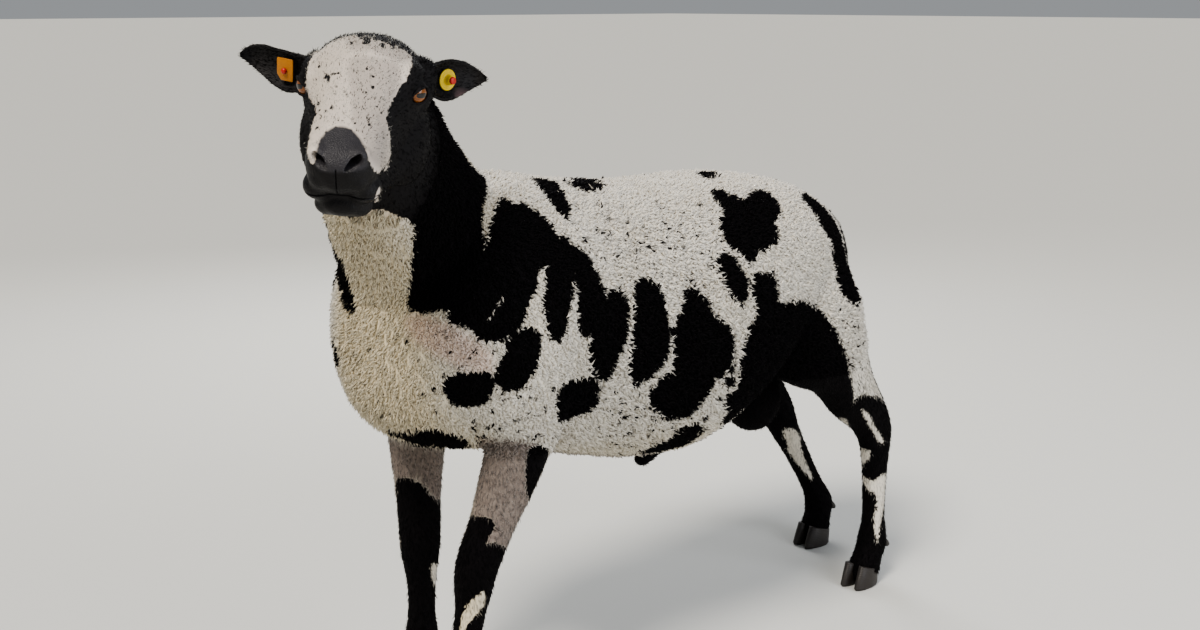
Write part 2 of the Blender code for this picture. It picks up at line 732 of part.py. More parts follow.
def dewclaw_form(name, foot, side, fetlock):
    (x, y), heading = FEET[foot]
    place = Matrix.Translation(fetlock) @ Matrix.Rotation(math.radians(heading), 4, "Z")
    rings = []
    for share, radius in ((0.0, 0.0065), (0.5, 0.0065), (0.85, 0.0045), (1.0, 0.0020)):
        middle = Vector((side * (0.0125 + 0.003 * share), 0.016 + 0.014 * share, -0.002 - 0.014 * share))
        ring = []
        for i in range(8):
            angle = 2 * math.pi * i / 8
            offset = Vector((math.cos(angle), 0.7 * math.sin(angle), 0.7 * math.sin(angle)))
            ring.append(place @ (middle + offset * radius))
        rings.append(ring)
    return skin_rings(name, rings)


def turned(name, matrix, profile, sides=14):
    """Turned body from pairs (radius, height) along the matrix's Z."""
    rings = []
    for radius, height in profile:
        ring = []
        for i in range(sides):
            angle = 2 * math.pi * i / sides
            ring.append(matrix @ Vector((radius * math.cos(angle), radius * math.sin(angle), height)))
        rings.append(ring)
    return skin_rings(name, rings)


def in_fleece(point):
    """True where the animal wears fleece and not short hair."""
    x, y, z = point
    to_head = (Vector(point) - in_head(HEAD_CUT[0])).dot(head_way(HEAD_CUT[1]))
    if to_head > -CLUMP_SIZES[-1]:
        return False
    if z < 0.46 and y < -0.20:
        return False
    if y > 0.20:
        groin = abs(x) < 0.095 and z < 0.50 and y < 0.46
        return z > 0.42 + 0.5 * max(y - 0.36, 0) and not groin and not (abs(x) < 0.055 and y > 0.46)
    return z < 0.80 + 0.3 * (y + 0.40)


def clump_places(obj):
    """Evenly spread points of the fleece with their normals, in a seeded order."""
    chooser = random.Random(SEED)
    order = list(range(len(obj.data.vertices)))
    chooser.shuffle(order)
    chosen = []
    for index in order:
        vertex = obj.data.vertices[index]
        if not in_fleece(vertex.co):
            continue
        if all((vertex.co - place).length > CLUMP_SPACING for place, _ in chosen):
            chosen.append((vertex.co.copy(), vertex.normal.copy()))
    return chosen


def clump_form(name, place, normal, radius, twist, tree):
    """Low dome that follows the core below it, with its rim sunk in the core."""
    side = normal.orthogonal().normalized()
    other = normal.cross(side)
    profile = ((0.42, 0.90), (0.76, 0.48), (1.0, -CLUMP_ROOT / CORE_DEPTH))
    rings = []
    for share, lift in profile:
        ring = []
        for i in range(CLUMP_SIDES):
            angle = twist + 2 * math.pi * i / CLUMP_SIDES
            wobble = 1 + 0.07 * math.sin(3 * angle + twist * 5)
            flat = place + (side * math.cos(angle) + other * math.sin(angle)) * radius * share * wobble
            hit = tree.ray_cast(flat + normal * 0.05, -normal, 0.11)
            ground = hit[0] if hit[0] else flat - normal * 0.03
            up = (hit[1] + normal).normalized() if hit[0] else normal
            ring.append(ground + up * (CORE_DEPTH * lift))
        rings.append(ring)
    top = place + normal * CORE_DEPTH
    bottom = place - normal * (CLUMP_ROOT * 2.2)
    vertices = [top] + [p for ring in rings for p in ring] + [bottom]
    faces = []
    for i in range(CLUMP_SIDES):
        k = (i + 1) % CLUMP_SIDES
        faces.append((0, 1 + i, 1 + k))
        for row in range(len(rings) - 1):
            a = 1 + row * CLUMP_SIDES
            b = a + CLUMP_SIDES
            faces.append((a + i, b + i, b + k, a + k))
        last = 1 + (len(rings) - 1) * CLUMP_SIDES
        faces.append((last + k, last + i, len(vertices) - 1))
    return add_mesh(name, vertices, faces)


def add_fleece(core, fine):
    """Unites the rounded clumps with the core in one Boolean."""
    tree = BVHTree.FromPolygons([v.co for v in fine.data.vertices], [p.vertices for p in fine.data.polygons])
    chooser = random.Random(SEED + 1)
    group = bpy.data.collections.new("clumps")
    bpy.context.scene.collection.children.link(group)
    for i, (place, normal) in enumerate(clump_places(fine)):
        radius = chooser.choice(CLUMP_SIZES)
        clump = clump_form(f"clump_{i}", place, normal, radius, chooser.uniform(0, 6.28), tree)
        bpy.context.scene.collection.objects.unlink(clump)
        group.objects.link(clump)
    apply_modifier(core, "BOOLEAN", operation="UNION", operand_type="COLLECTION", collection=group, solver="MANIFOLD")
    for clump in list(group.objects):
        remove(clump)
    bpy.data.collections.remove(group)


def material(name, colour, roughness, metallic=0.0):
    result = bpy.data.materials.new(name)
    result.use_nodes = True
    shader = result.node_tree.nodes["Principled BSDF"]
    shader.inputs["Base Color"].default_value = (*colour, 1.0)
    shader.inputs["Roughness"].default_value = roughness
    shader.inputs["Metallic"].default_value = metallic
    result.diffuse_color = (*colour, 1.0)
    return result


def finish(obj, name, slot, collection):
    """Names a node, gives it its material and moves it to its collection."""
    obj.name = name
    obj.data.name = name
    obj.data.materials.clear()
    obj.data.materials.append(slot)
    obj.data.transform(Matrix.Translation(SHIFT))
    for polygon in obj.data.polygons:
        polygon.material_index = 0
    for owner in list(obj.users_collection):
        owner.objects.unlink(obj)
    collection.objects.link(obj)
    obj.data.shade_smooth()
    obj.data.set_sharp_from_angle(angle=math.radians(40))


def build():
    for obj in list(bpy.data.objects):
        bpy.data.objects.remove(obj)
    sheep = bpy.data.collections.new("dutch_spotted_sheep")
    bpy.context.scene.collection.children.link(sheep)
    fleece_colour = material("fleece", (0.72, 0.66, 0.55), 0.95)
    neck_colour = material("neck_fleece", (0.10, 0.09, 0.09), 0.9)
    face_colour = material("face_hair", (0.05, 0.05, 0.055), 0.7)
    leg_colour = material("leg_hair", (0.06, 0.06, 0.06), 0.75)
    ear_colour = material("ear_skin", (0.03, 0.03, 0.035), 0.7)
    eye_colour = material("eye_amber", (0.55, 0.24, 0.06), 0.1)
    horn_colour = material("hoof_horn", (0.05, 0.045, 0.04), 0.5)
    dewclaw_colour = material("dewclaw_horn", (0.06, 0.05, 0.045), 0.55)
    skin_colour = material("bare_skin", (0.05, 0.045, 0.05), 0.7)
    tag_colour = material("tag_yellow", (0.85, 0.55, 0.05), 0.4)
    stud_colour = material("tag_red", (0.65, 0.05, 0.03), 0.4)

    body = join(flesh_lofts(CORE_DEPTH) + head_lofts(), "body_flesh")
    fuse(body, BODY_VOXEL, 6)
    fine = copy_of(body, "fine_flesh")
    thin_out(body, BODY_TRIANGLES)
    apply_modifier(body, "SHRINKWRAP", target=fine)
    add_fleece(body, fine)
    thin_out(body, CLUMPED_TRIANGLES)
    remove(fine)
    point, way = in_head(HEAD_CUT[0]), head_way(HEAD_CUT[1])
    remove(take_beyond(body, "head_blank", point, way, 0.5, 0.5))

    head = join(head_lofts() + [neck_form(0.0)], "head")
    fuse(head, HEAD_VOXEL, 22)
    head = join([head] + head_details(), "head")
    fuse(head, HEAD_VOXEL, 4)
    beyond = slab("cutter", point, way, 0.5, 0.5)
    cut(head, beyond, "INTERSECT")
    thin_out(head, HEAD_TRIANGLES)
    cut(head, beyond, "INTERSECT")
    remove(beyond)
    tree = BVHTree.FromPolygons([v.co for v in head.data.vertices], [p.vertices for p in head.data.polygons])
    for groove in (mouth_groove(tree), philtrum_groove(tree), nostril(1), nostril(-1)):
        cut(head, groove)
        remove(groove)
    for side, label in ((1, "left"), (-1, "right")):
        for cutter in (eyeball("socket", side, GAP), eye_opening(side)):
            cut(head, cutter)
            remove(cutter)
        finish(eyeball(f"eye_{label}", side), f"eye_{label}", eye_colour, sheep)

    for label, ear in (("left", EAR_LEFT), ("right", EAR_RIGHT)):
        leaf = ear_form(f"ear_{label}", ear)
        make_room(head, leaf)
        tags_on_ear(label, ear, leaf, tag_colour, stud_colour, sheep)
        finish(leaf, f"ear_{label}", ear_colour, sheep)
    keep_largest(head)
    finish(head, "head", face_colour, sheep)

    tail = limb_form("tail", TAIL, sides=10, steps=2)
    scrotum = limb_form("scrotum", SCROTUM, sides=12, steps=2)
    sheath = limb_form("sheath", SHEATH, sides=12, steps=1)
    for part, slot in ((tail, leg_colour), (scrotum, skin_colour), (sheath, skin_colour)):
        make_room(body, part)
        finish(part, part.name, slot, sheep)

    for foot, ranges in LEG_CUTS.items():
        leg = take(body, f"leg_{foot}", column("cutter", *ranges), column("cutter", *ranges, extra=GAP))
        add_foot(leg, foot, horn_colour, dewclaw_colour, sheep)
        finish(leg, f"leg_{foot}", leg_colour, sheep)
    point, way = NECK_CUT
    neck = take_beyond(body, "neck", point, way, 0.6, 0.5)
    finish(neck, "neck", neck_colour, sheep)
    finish(body, "torso", fleece_colour, sheep)


def add_foot(leg, foot, horn_colour, dewclaw_colour, sheep):
    """Cuts the leg at the coronet and sets the claws and dewclaws."""
    (x, y), heading = FEET[foot]
    way = Matrix.Rotation(math.radians(heading), 3, "Z") @ Vector(
        (0, math.sin(math.radians(CORONET_SLOPE)), -math.cos(math.radians(CORONET_SLOPE)))
    )
    point = Vector((x, y, CORONET))
    below = slab("cutter", point, way, 0.3, 0.2)
    cut(leg, below)
    remove(below)
    keep_largest(leg)
    for side, label in ((1, "outer"), (-1, "inner")):
        if "right" in foot:
            side = -side
        claw = claw_form(f"hoof_{foot}_{label}", foot, side)
        above = slab("cutter", point + way * GAP, -way, 0.3, 0.2)
        cut(claw, above)
        remove(above)
        finish(claw, f"hoof_{foot}_{label}", horn_colour, sheep)
        dewclaw = dewclaw_form(f"dewclaw_{foot}_{label}", foot, side, fetlock_of(foot))
        make_room(leg, dewclaw)
        finish(dewclaw, f"dewclaw_{foot}_{label}", dewclaw_colour, sheep)
    keep_largest(leg)


def fetlock_of(foot):
    """Centre of the fetlock, the last wide section above the pastern."""
    sections = {
        "left_fore": FORELEG_LEFT,
        "right_fore": FORELEG_RIGHT,
        "left_hind": HINDLEG_LEFT,
        "right_hind": HINDLEG_RIGHT,
    }[foot]
    return Vector(sections[-5][0])


def ear_frame(ear, share, depth):
    """Place inside the cup of an ear, with Z out of the cup and Y towards the tip."""
    root, tip_way, open_way, sag = ear
    along = head_way(tip_way)
    opening = head_way(open_way)
    opening = (opening - along * opening.dot(along)).normalized()
    across = along.cross(opening)
    centre = in_head(root) + along * (share * EAR_LENGTH) - opening * depth
    centre.z -= sag * math.sin(math.pi * share)
    turn = Matrix((across, along, opening)).transposed().to_4x4()
    return Matrix.Translation(centre) @ turn


def tags_on_ear(label, ear, leaf, tag_colour, stud_colour, sheep):
    """A flag tag in the right ear and a button tag in the left one."""
    depth = TAG_DEPTH[label]
    frame = ear_frame(ear, 0.46, depth)
    back = depth - EAR_BACK
    if label == "right":
        panel = flag_panel("tag_right_panel", frame)
        front = ((0.0034, 0.0022), (0.0036, 0.0050), (0.0022, 0.0060))
    else:
        rim = ((0.0122, 0.0), (0.0130, 0.0006), (0.0130, 0.0018), (0.0122, 0.0024))
        panel = turned("tag_left_button", frame, rim + ((0.0058, 0.0026), (0.0054, 0.0090)), 14)
        front = ((0.0046, 0.0094), (0.0044, 0.0118), (0.0026, 0.0128))
    stem = ((0.0015, back - 0.0014), (0.0060, back - 0.0014), (0.0060, back), (0.0016, back + 0.0002))
    stud = turned(f"tag_{label}_stud", frame, stem + ((0.0016, front[0][1] - 0.0002),) + front, 8)
    make_room(panel, stud)
    make_room(leaf, stud)
    make_room(leaf, panel)
    keep_largest(leaf)
    finish(panel, panel.name, tag_colour, sheep)
    finish(stud, stud.name, stud_colour, sheep)


def flag_panel(name, frame):
    """Thin plate with two clipped corners and rounded ones below."""
    outline = (
        (-0.0045, 0.0110), (-0.0120, 0.0056), (-0.0122, -0.0100), (-0.0112, -0.0110),
        (0.0140, -0.0112), (0.0148, -0.0104), (0.0148, 0.0102), (0.0138, 0.0110),
    )
    rings = []
    for height in (0.0, 0.0018):
        rings.append([frame @ Vector((a, b, height)) for a, b in outline])
    return skin_rings(name, rings)


build()
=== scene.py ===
"""Looks of a standing Dutch spotted ram: skin, short curly fleece, hair, eyes, hooves and tags.

The sheep faces -Y, its left side is +X and it stands on the ground at z = 0. One skin takes the
place of the flesh nodes and lies inside them by the depth of the coat, whose tufts reach out to
their surface. Skin and coat read the same markings, stored as attributes of the meshes.
"""
import math
import random
from functools import partial

import bmesh
import bpy
import numpy as np
from mathutils import Matrix, Vector
from mathutils.bvhtree import BVHTree
from mathutils.kdtree import KDTree
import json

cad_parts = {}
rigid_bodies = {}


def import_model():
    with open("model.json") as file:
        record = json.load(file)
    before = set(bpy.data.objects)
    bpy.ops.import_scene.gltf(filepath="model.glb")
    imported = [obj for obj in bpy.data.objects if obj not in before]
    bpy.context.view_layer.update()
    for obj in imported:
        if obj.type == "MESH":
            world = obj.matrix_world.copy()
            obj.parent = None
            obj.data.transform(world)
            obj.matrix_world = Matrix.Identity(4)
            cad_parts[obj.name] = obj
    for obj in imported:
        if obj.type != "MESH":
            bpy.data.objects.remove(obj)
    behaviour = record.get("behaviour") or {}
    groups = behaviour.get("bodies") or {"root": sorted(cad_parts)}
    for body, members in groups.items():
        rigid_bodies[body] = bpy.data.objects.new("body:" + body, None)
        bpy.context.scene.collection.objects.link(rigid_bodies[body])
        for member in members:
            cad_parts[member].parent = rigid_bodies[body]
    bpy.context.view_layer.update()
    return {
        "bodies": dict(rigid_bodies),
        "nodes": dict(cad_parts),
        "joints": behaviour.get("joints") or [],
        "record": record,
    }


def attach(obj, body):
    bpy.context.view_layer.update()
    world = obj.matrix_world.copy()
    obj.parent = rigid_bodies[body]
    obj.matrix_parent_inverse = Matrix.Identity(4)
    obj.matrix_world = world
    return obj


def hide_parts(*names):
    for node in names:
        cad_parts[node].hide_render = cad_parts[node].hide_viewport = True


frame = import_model()

# Driving sizes in metres, the same as the solids have
SHIFT = Vector((-0.0385, 0.0105, 0.0))
COAT_DEPTH = 0.008  # of the fleece, from its tips down to the skin
SKIN_VOXEL = 0.0024
SKIN_TRIANGLES = 180000
FLEECE_SPACING = 0.0034
FLEECE_SAMPLES = 900000
FLEECE_LENGTH = 0.0110
FLEECE_RADIUS = 0.0023 * (FLEECE_SPACING / 0.0034)
LOCK_SPACING = 0.0130  # between the locks that the curls gather in
HAIR_SPACING = 0.0034
HAIR_SAMPLES = 700000
HAIR_LENGTH = 0.0080
HAIR_RADIUS = 0.00105
HAIR_LOWEST = 0.014  # keeps the hair's tips off the ground
FACE_SPACING = 0.0021
PATCH = 0.003  # width of a tuft's patch on the unwrapped skin
SEED = 12

# Head: its frame is (left, forward, up) from a point midway between the eyes
HEAD_PLACE = Vector((0.160, -0.540, 0.909))
HEAD_YAW = 46.0
HEAD_PITCH = 21.3
HEAD_ROLL = 4.5
EYE_PLACE = (0.0580, -0.003, 0.003)
EYE_RADIUS = 0.0148
EYE_YAW = 50.0
EYE_RISE = 4.0
LID_DEPTH = 0.0020
EYE_OPENING = (0.0132, 0.0088)
UPPER_LID = 0.92  # of the lower lid's reach
EYE_RING = 0.0205  # radius of the dark hair round an eye
HEAD_CUT = ((0.0, -0.075, -0.085), (-0.12, 0.85, 0.51))

# Camera that took the picture, in pixels of its 1200 x 630 frame and in metres
FOCUS = 1400.0
PICTURE_WIDTH = 1200.0
SENSOR_WIDTH = 36.0  # millimetres
MIDDLE = (600.0, 315.0)
CAMERA_PLACE = Vector((1.5232, -1.409, 1.0093))
CAMERA_FALL = 0.2209  # radians below the horizon
CAMERA_TURN = 0.8363  # radians from +Y towards -X

# Torso sections: y, half width, top, bottom, squareness
TORSO = (
    (-0.450, 0.060, 0.625, 0.500, 2.0),
    (-0.430, 0.112, 0.680, 0.455, 2.1),
    (-0.390, 0.160, 0.730, 0.425, 2.2),
    (-0.320, 0.180, 0.770, 0.403, 2.3),
    (-0.240, 0.184, 0.785, 0.390, 2.3),
    (-0.140, 0.180, 0.769, 0.358, 2.3),
    (-0.030, 0.190, 0.755, 0.330, 2.3),
    (0.070, 0.200, 0.752, 0.325, 2.3),
    (0.170, 0.193, 0.752, 0.362, 2.3),
    (0.270, 0.172, 0.742, 0.430, 2.3),
    (0.350, 0.145, 0.722, 0.455, 2.3),
    (0.420, 0.103, 0.688, 0.480, 2.3),
    (0.465, 0.068, 0.648, 0.500, 2.2),
    (0.488, 0.038, 0.600, 0.530, 2.0),
)

# Other flesh forms: centre, half width, front or upper half, back or lower half
NECK = (
    ((-0.008, -0.240, 0.590), 0.132, 0.175, 0.165),
    ((-0.006, -0.320, 0.660), 0.124, 0.150, 0.140),
    ((0.018, -0.385, 0.735), 0.104, 0.118, 0.112),
    ((0.056, -0.440, 0.805), 0.088, 0.094, 0.094),
    ((0.092, -0.478, 0.862), 0.076, 0.080, 0.082),
    ((0.118, -0.504, 0.895), 0.050, 0.045, 0.050),
)
SHOULDER = (
    ((0.105, -0.200, 0.700), 0.050, 0.050, 0.060),
    ((0.125, -0.250, 0.610), 0.062, 0.095, 0.090),
    ((0.125, -0.290, 0.530), 0.062, 0.100, 0.090),
    ((0.118, -0.270, 0.460), 0.050, 0.065, 0.070),
)
FORELEG_LEFT = (
    ((0.120, -0.262, 0.500), 0.050, 0.070, 0.055),
    ((0.112, -0.268, 0.440), 0.042, 0.058, 0.038),
    ((0.100, -0.290, 0.375), 0.034, 0.045, 0.040),
    ((0.088, -0.312, 0.310), 0.028, 0.035, 0.033),
    ((0.079, -0.330, 0.258), 0.029, 0.031, 0.030),
    ((0.076, -0.335, 0.225), 0.026, 0.028, 0.026),
    ((0.073, -0.342, 0.180), 0.0195, 0.021, 0.022),
    ((0.068, -0.352, 0.120), 0.0190, 0.020, 0.022),
    ((0.064, -0.360, 0.080), 0.0250, 0.026, 0.028),
    ((0.062, -0.368, 0.055), 0.0240, 0.024, 0.026),
    ((0.060, -0.376, 0.030), 0.0260, 0.028, 0.028),
    ((0.060, -0.380, 0.012), 0.0200, 0.024, 0.024),
    ((0.060, -0.380, 0.004), 0.0080, 0.010, 0.010),
)
FORELEG_RIGHT = (
    ((-0.116, -0.268, 0.500), 0.050, 0.070, 0.060),
    ((-0.112, -0.284, 0.440), 0.043, 0.060, 0.044),
    ((-0.103, -0.297, 0.375), 0.034, 0.046, 0.040),
    ((-0.092, -0.307, 0.305), 0.028, 0.035, 0.034),
    ((-0.084, -0.312, 0.245), 0.029, 0.031, 0.030),
    ((-0.084, -0.312, 0.212), 0.026, 0.028, 0.026),
    ((-0.085, -0.312, 0.170), 0.0195, 0.021, 0.022),
    ((-0.086, -0.313, 0.118), 0.0190, 0.020, 0.022),
    ((-0.087, -0.315, 0.080), 0.0250, 0.026, 0.028),
    ((-0.088, -0.323, 0.055), 0.0240, 0.024, 0.026),
    ((-0.088, -0.332, 0.030), 0.0260, 0.028, 0.028),
    ((-0.088, -0.336, 0.012), 0.0200, 0.024, 0.024),
    ((-0.088, -0.336, 0.004), 0.0080, 0.010, 0.010),
)
HINDLEG_LEFT = (
    ((0.080, 0.320, 0.620), 0.055, 0.110, 0.095),
    ((0.098, 0.312, 0.550), 0.064, 0.130, 0.108),
    ((0.112, 0.325, 0.480), 0.060, 0.100, 0.118),
    ((0.120, 0.375, 0.415), 0.046, 0.050, 0.084),
    ((0.117, 0.428, 0.360), 0.034, 0.044, 0.060),
    ((0.114, 0.480, 0.312), 0.027, 0.034, 0.046),
    ((0.112, 0.508, 0.275), 0.024, 0.035, 0.038),
    ((0.111, 0.514, 0.235), 0.021, 0.028, 0.028),
    ((0.110, 0.517, 0.180), 0.0185, 0.023, 0.023),
    ((0.109, 0.520, 0.115), 0.0180, 0.022, 0.023),
    ((0.108, 0.520, 0.075), 0.0250, 0.026, 0.028),
    ((0.109, 0.510, 0.052), 0.0240, 0.024, 0.026),
    ((0.110, 0.500, 0.030), 0.0260, 0.028, 0.028),
    ((0.110, 0.496, 0.012), 0.0200, 0.024, 0.024),
    ((0.110, 0.496, 0.004), 0.0080, 0.010, 0.010),
)
HINDLEG_RIGHT = (
    ((-0.080, 0.320, 0.620), 0.055, 0.110, 0.095),
    ((-0.098, 0.305, 0.550), 0.064, 0.130, 0.108),
    ((-0.112, 0.312, 0.480), 0.060, 0.100, 0.118),
    ((-0.114, 0.355, 0.415), 0.046, 0.050, 0.082),
    ((-0.108, 0.408, 0.362), 0.034, 0.044, 0.058),
    ((-0.100, 0.458, 0.315), 0.027, 0.034, 0.044),
    ((-0.094, 0.490, 0.272), 0.024, 0.034, 0.037),
    ((-0.091, 0.514, 0.230), 0.021, 0.027, 0.028),
    ((-0.088, 0.548, 0.175), 0.0185, 0.022, 0.023),
    ((-0.085, 0.586, 0.112), 0.0180, 0.021, 0.022),
    ((-0.082, 0.604, 0.074), 0.0250, 0.026, 0.028),
    ((-0.078, 0.597, 0.050), 0.0240, 0.024, 0.026),
    ((-0.073, 0.586, 0.030), 0.0260, 0.028, 0.028),
    ((-0.071, 0.582, 0.012), 0.0200, 0.024, 0.024),
    ((-0.071, 0.582, 0.004), 0.0080, 0.010, 0.010),
)
LEGS = {
    "left_fore": FORELEG_LEFT,
    "right_fore": FORELEG_RIGHT,
    "left_hind": HINDLEG_LEFT,
    "right_hind": HINDLEG_RIGHT,
}
SCROTUM = (
    ((0.0, 0.322, 0.500), 0.030, 0.028, 0.028),
    ((0.0, 0.320, 0.450), 0.032, 0.028, 0.028),
    ((0.0, 0.315, 0.405), 0.046, 0.036, 0.036),
    ((0.0, 0.312, 0.360), 0.055, 0.044, 0.044),
    ((0.0, 0.310, 0.325), 0.046, 0.037, 0.037),
    ((0.0, 0.310, 0.305), 0.026, 0.022, 0.022),
    ((0.0, 0.310, 0.298), 0.008, 0.007, 0.007),
)
SHEATH = (
    ((0.0, 0.160, 0.375), 0.019, 0.019, 0.019),
    ((0.0, 0.115, 0.340), 0.019, 0.019, 0.019),
    ((0.0, 0.078, 0.318), 0.017, 0.017, 0.017),
    ((0.0, 0.054, 0.302), 0.013, 0.013, 0.013),
    ((0.0, 0.046, 0.296), 0.007, 0.007, 0.007),
)
TAIL = (
    ((0.0, 0.445, 0.652), 0.026, 0.016, 0.016),
    ((0.0, 0.488, 0.636), 0.028, 0.016, 0.016),
    ((0.0, 0.514, 0.598), 0.028, 0.015, 0.015),
    ((0.0, 0.527, 0.555), 0.025, 0.014, 0.014),
    ((0.0, 0.533, 0.515), 0.019, 0.012, 0.012),
    ((0.0, 0.534, 0.490), 0.008, 0.006, 0.006),
)

# Head sections: forward, half width, top, bottom, squareness
SKULL = (
    (-0.108, 0.032, 0.008, -0.045, 2.0),
    (-0.088, 0.054, 0.030, -0.070, 2.2),
    (-0.055, 0.066, 0.047, -0.085, 2.3),
    (-0.022, 0.068, 0.051, -0.085, 2.3),
    (0.010, 0.063, 0.046, -0.080, 2.4),
    (0.040, 0.053, 0.037, -0.075, 2.5),
    (0.070, 0.046, 0.027, -0.070, 2.5),
    (0.095, 0.042, 0.019, -0.066, 2.5),
    (0.120, 0.040, 0.010, -0.060, 2.4),
    (0.140, 0.036, 0.003, -0.054, 2.3),
    (0.152, 0.028, -0.003, -0.048, 2.2),
    (0.160, 0.014, -0.012, -0.040, 2.0),
)
JAW = (
    (-0.085, 0.036, -0.045, -0.100, 2.0),
    (-0.062, 0.056, -0.030, -0.117, 2.2),
    (-0.030, 0.064, -0.030, -0.123, 2.3),
    (0.000, 0.062, -0.030, -0.119, 2.3),
    (0.035, 0.052, -0.030, -0.109, 2.3),
    (0.070, 0.041, -0.040, -0.099, 2.2),
    (0.100, 0.034, -0.045, -0.093, 2.2),
    (0.122, 0.031, -0.050, -0.088, 2.2),
    (0.138, 0.025, -0.056, -0.083, 2.1),
    (0.147, 0.014, -0.062, -0.076, 2.0),
)
# Swellings on each side of the head: place, radii, turn about up (degrees)
BROAD_SWELLINGS = (
    ((0.046, -0.020, -0.066), (0.029, 0.062, 0.052), 0.0),  # cheek
    ((0.050, -0.008, 0.020), (0.019, 0.032, 0.013), -10.0),  # brow
    ((0.058, -0.036, -0.018), (0.017, 0.046, 0.018), -6.0),  # cheekbone
    ((0.058, -0.060, -0.004), (0.021, 0.022, 0.024), 0.0),  # ear root
)
FINE_SWELLINGS = (
    ((0.021, 0.124, -0.050), (0.021, 0.026, 0.017), 20.0),  # upper lip
    ((0.021, 0.138, -0.006), (0.013, 0.014, 0.009), 25.0),  # wing of the nostril
    ((0.014, 0.122, -0.074), (0.018, 0.020, 0.013), 15.0),  # lower lip
    ((0.0165, 0.1420, -0.0330), (0.0168, 0.0155, 0.0155), 0.0),  # pad beside the groove of the lip
)

# Ears: root in the head's frame, way to the tip, way the cup opens, sag of the middle
EAR_LEFT = ((0.064, -0.057, -0.006), (0.64, -0.70, -0.27), (0.74, 0.62, 0.20), 0.002)
EAR_RIGHT = ((-0.064, -0.057, -0.006), (-0.93, -0.35, -0.05), (-0.30, 0.92, 0.18), 0.010)
EAR_LENGTH = 0.110
# Ear sections along its length: half width, roll of the cup (degrees), wall, hollow
EAR = (
    (0.00, 0.017, 150.0, 0.0060, 0.00),
    (0.12, 0.019, 170.0, 0.0050, 0.10),
    (0.25, 0.023, 165.0, 0.0036, 0.85),
    (0.42, 0.0250, 135.0, 0.0030, 1.00),
    (0.60, 0.0236, 110.0, 0.0026, 1.00),
    (0.78, 0.0200, 85.0, 0.0024, 1.00),
    (0.92, 0.0136, 70.0, 0.0022, 1.00),
    (0.975, 0.0084, 64.0, 0.0020, 1.00),
    (1.00, 0.0030, 60.0, 0.0018, 1.00),
)

TAG_DEPTH = {"left": 0.0175, "right": 0.0150}  # of a tag's back below the cup's centre
EAR_BACK = 0.0280  # of the ear's back below the same centre, with the gap

# Feet: middle of the sole, heading in degrees from -Y towards the sheep's left
FEET = {
    "left_fore": ((0.060, -0.390), 6.0),
    "right_fore": ((-0.088, -0.346), -6.0),
    "left_hind": ((0.110, 0.486), 4.0),
    "right_hind": ((-0.070, 0.572), -4.0),
}
CLAW_WIDTH = 0.0255
CLAW_GAP = 0.0030
CORONET = 0.036
CORONET_SLOPE = -16.0

# Markings: outlines in pixels of the picture, read off its near side

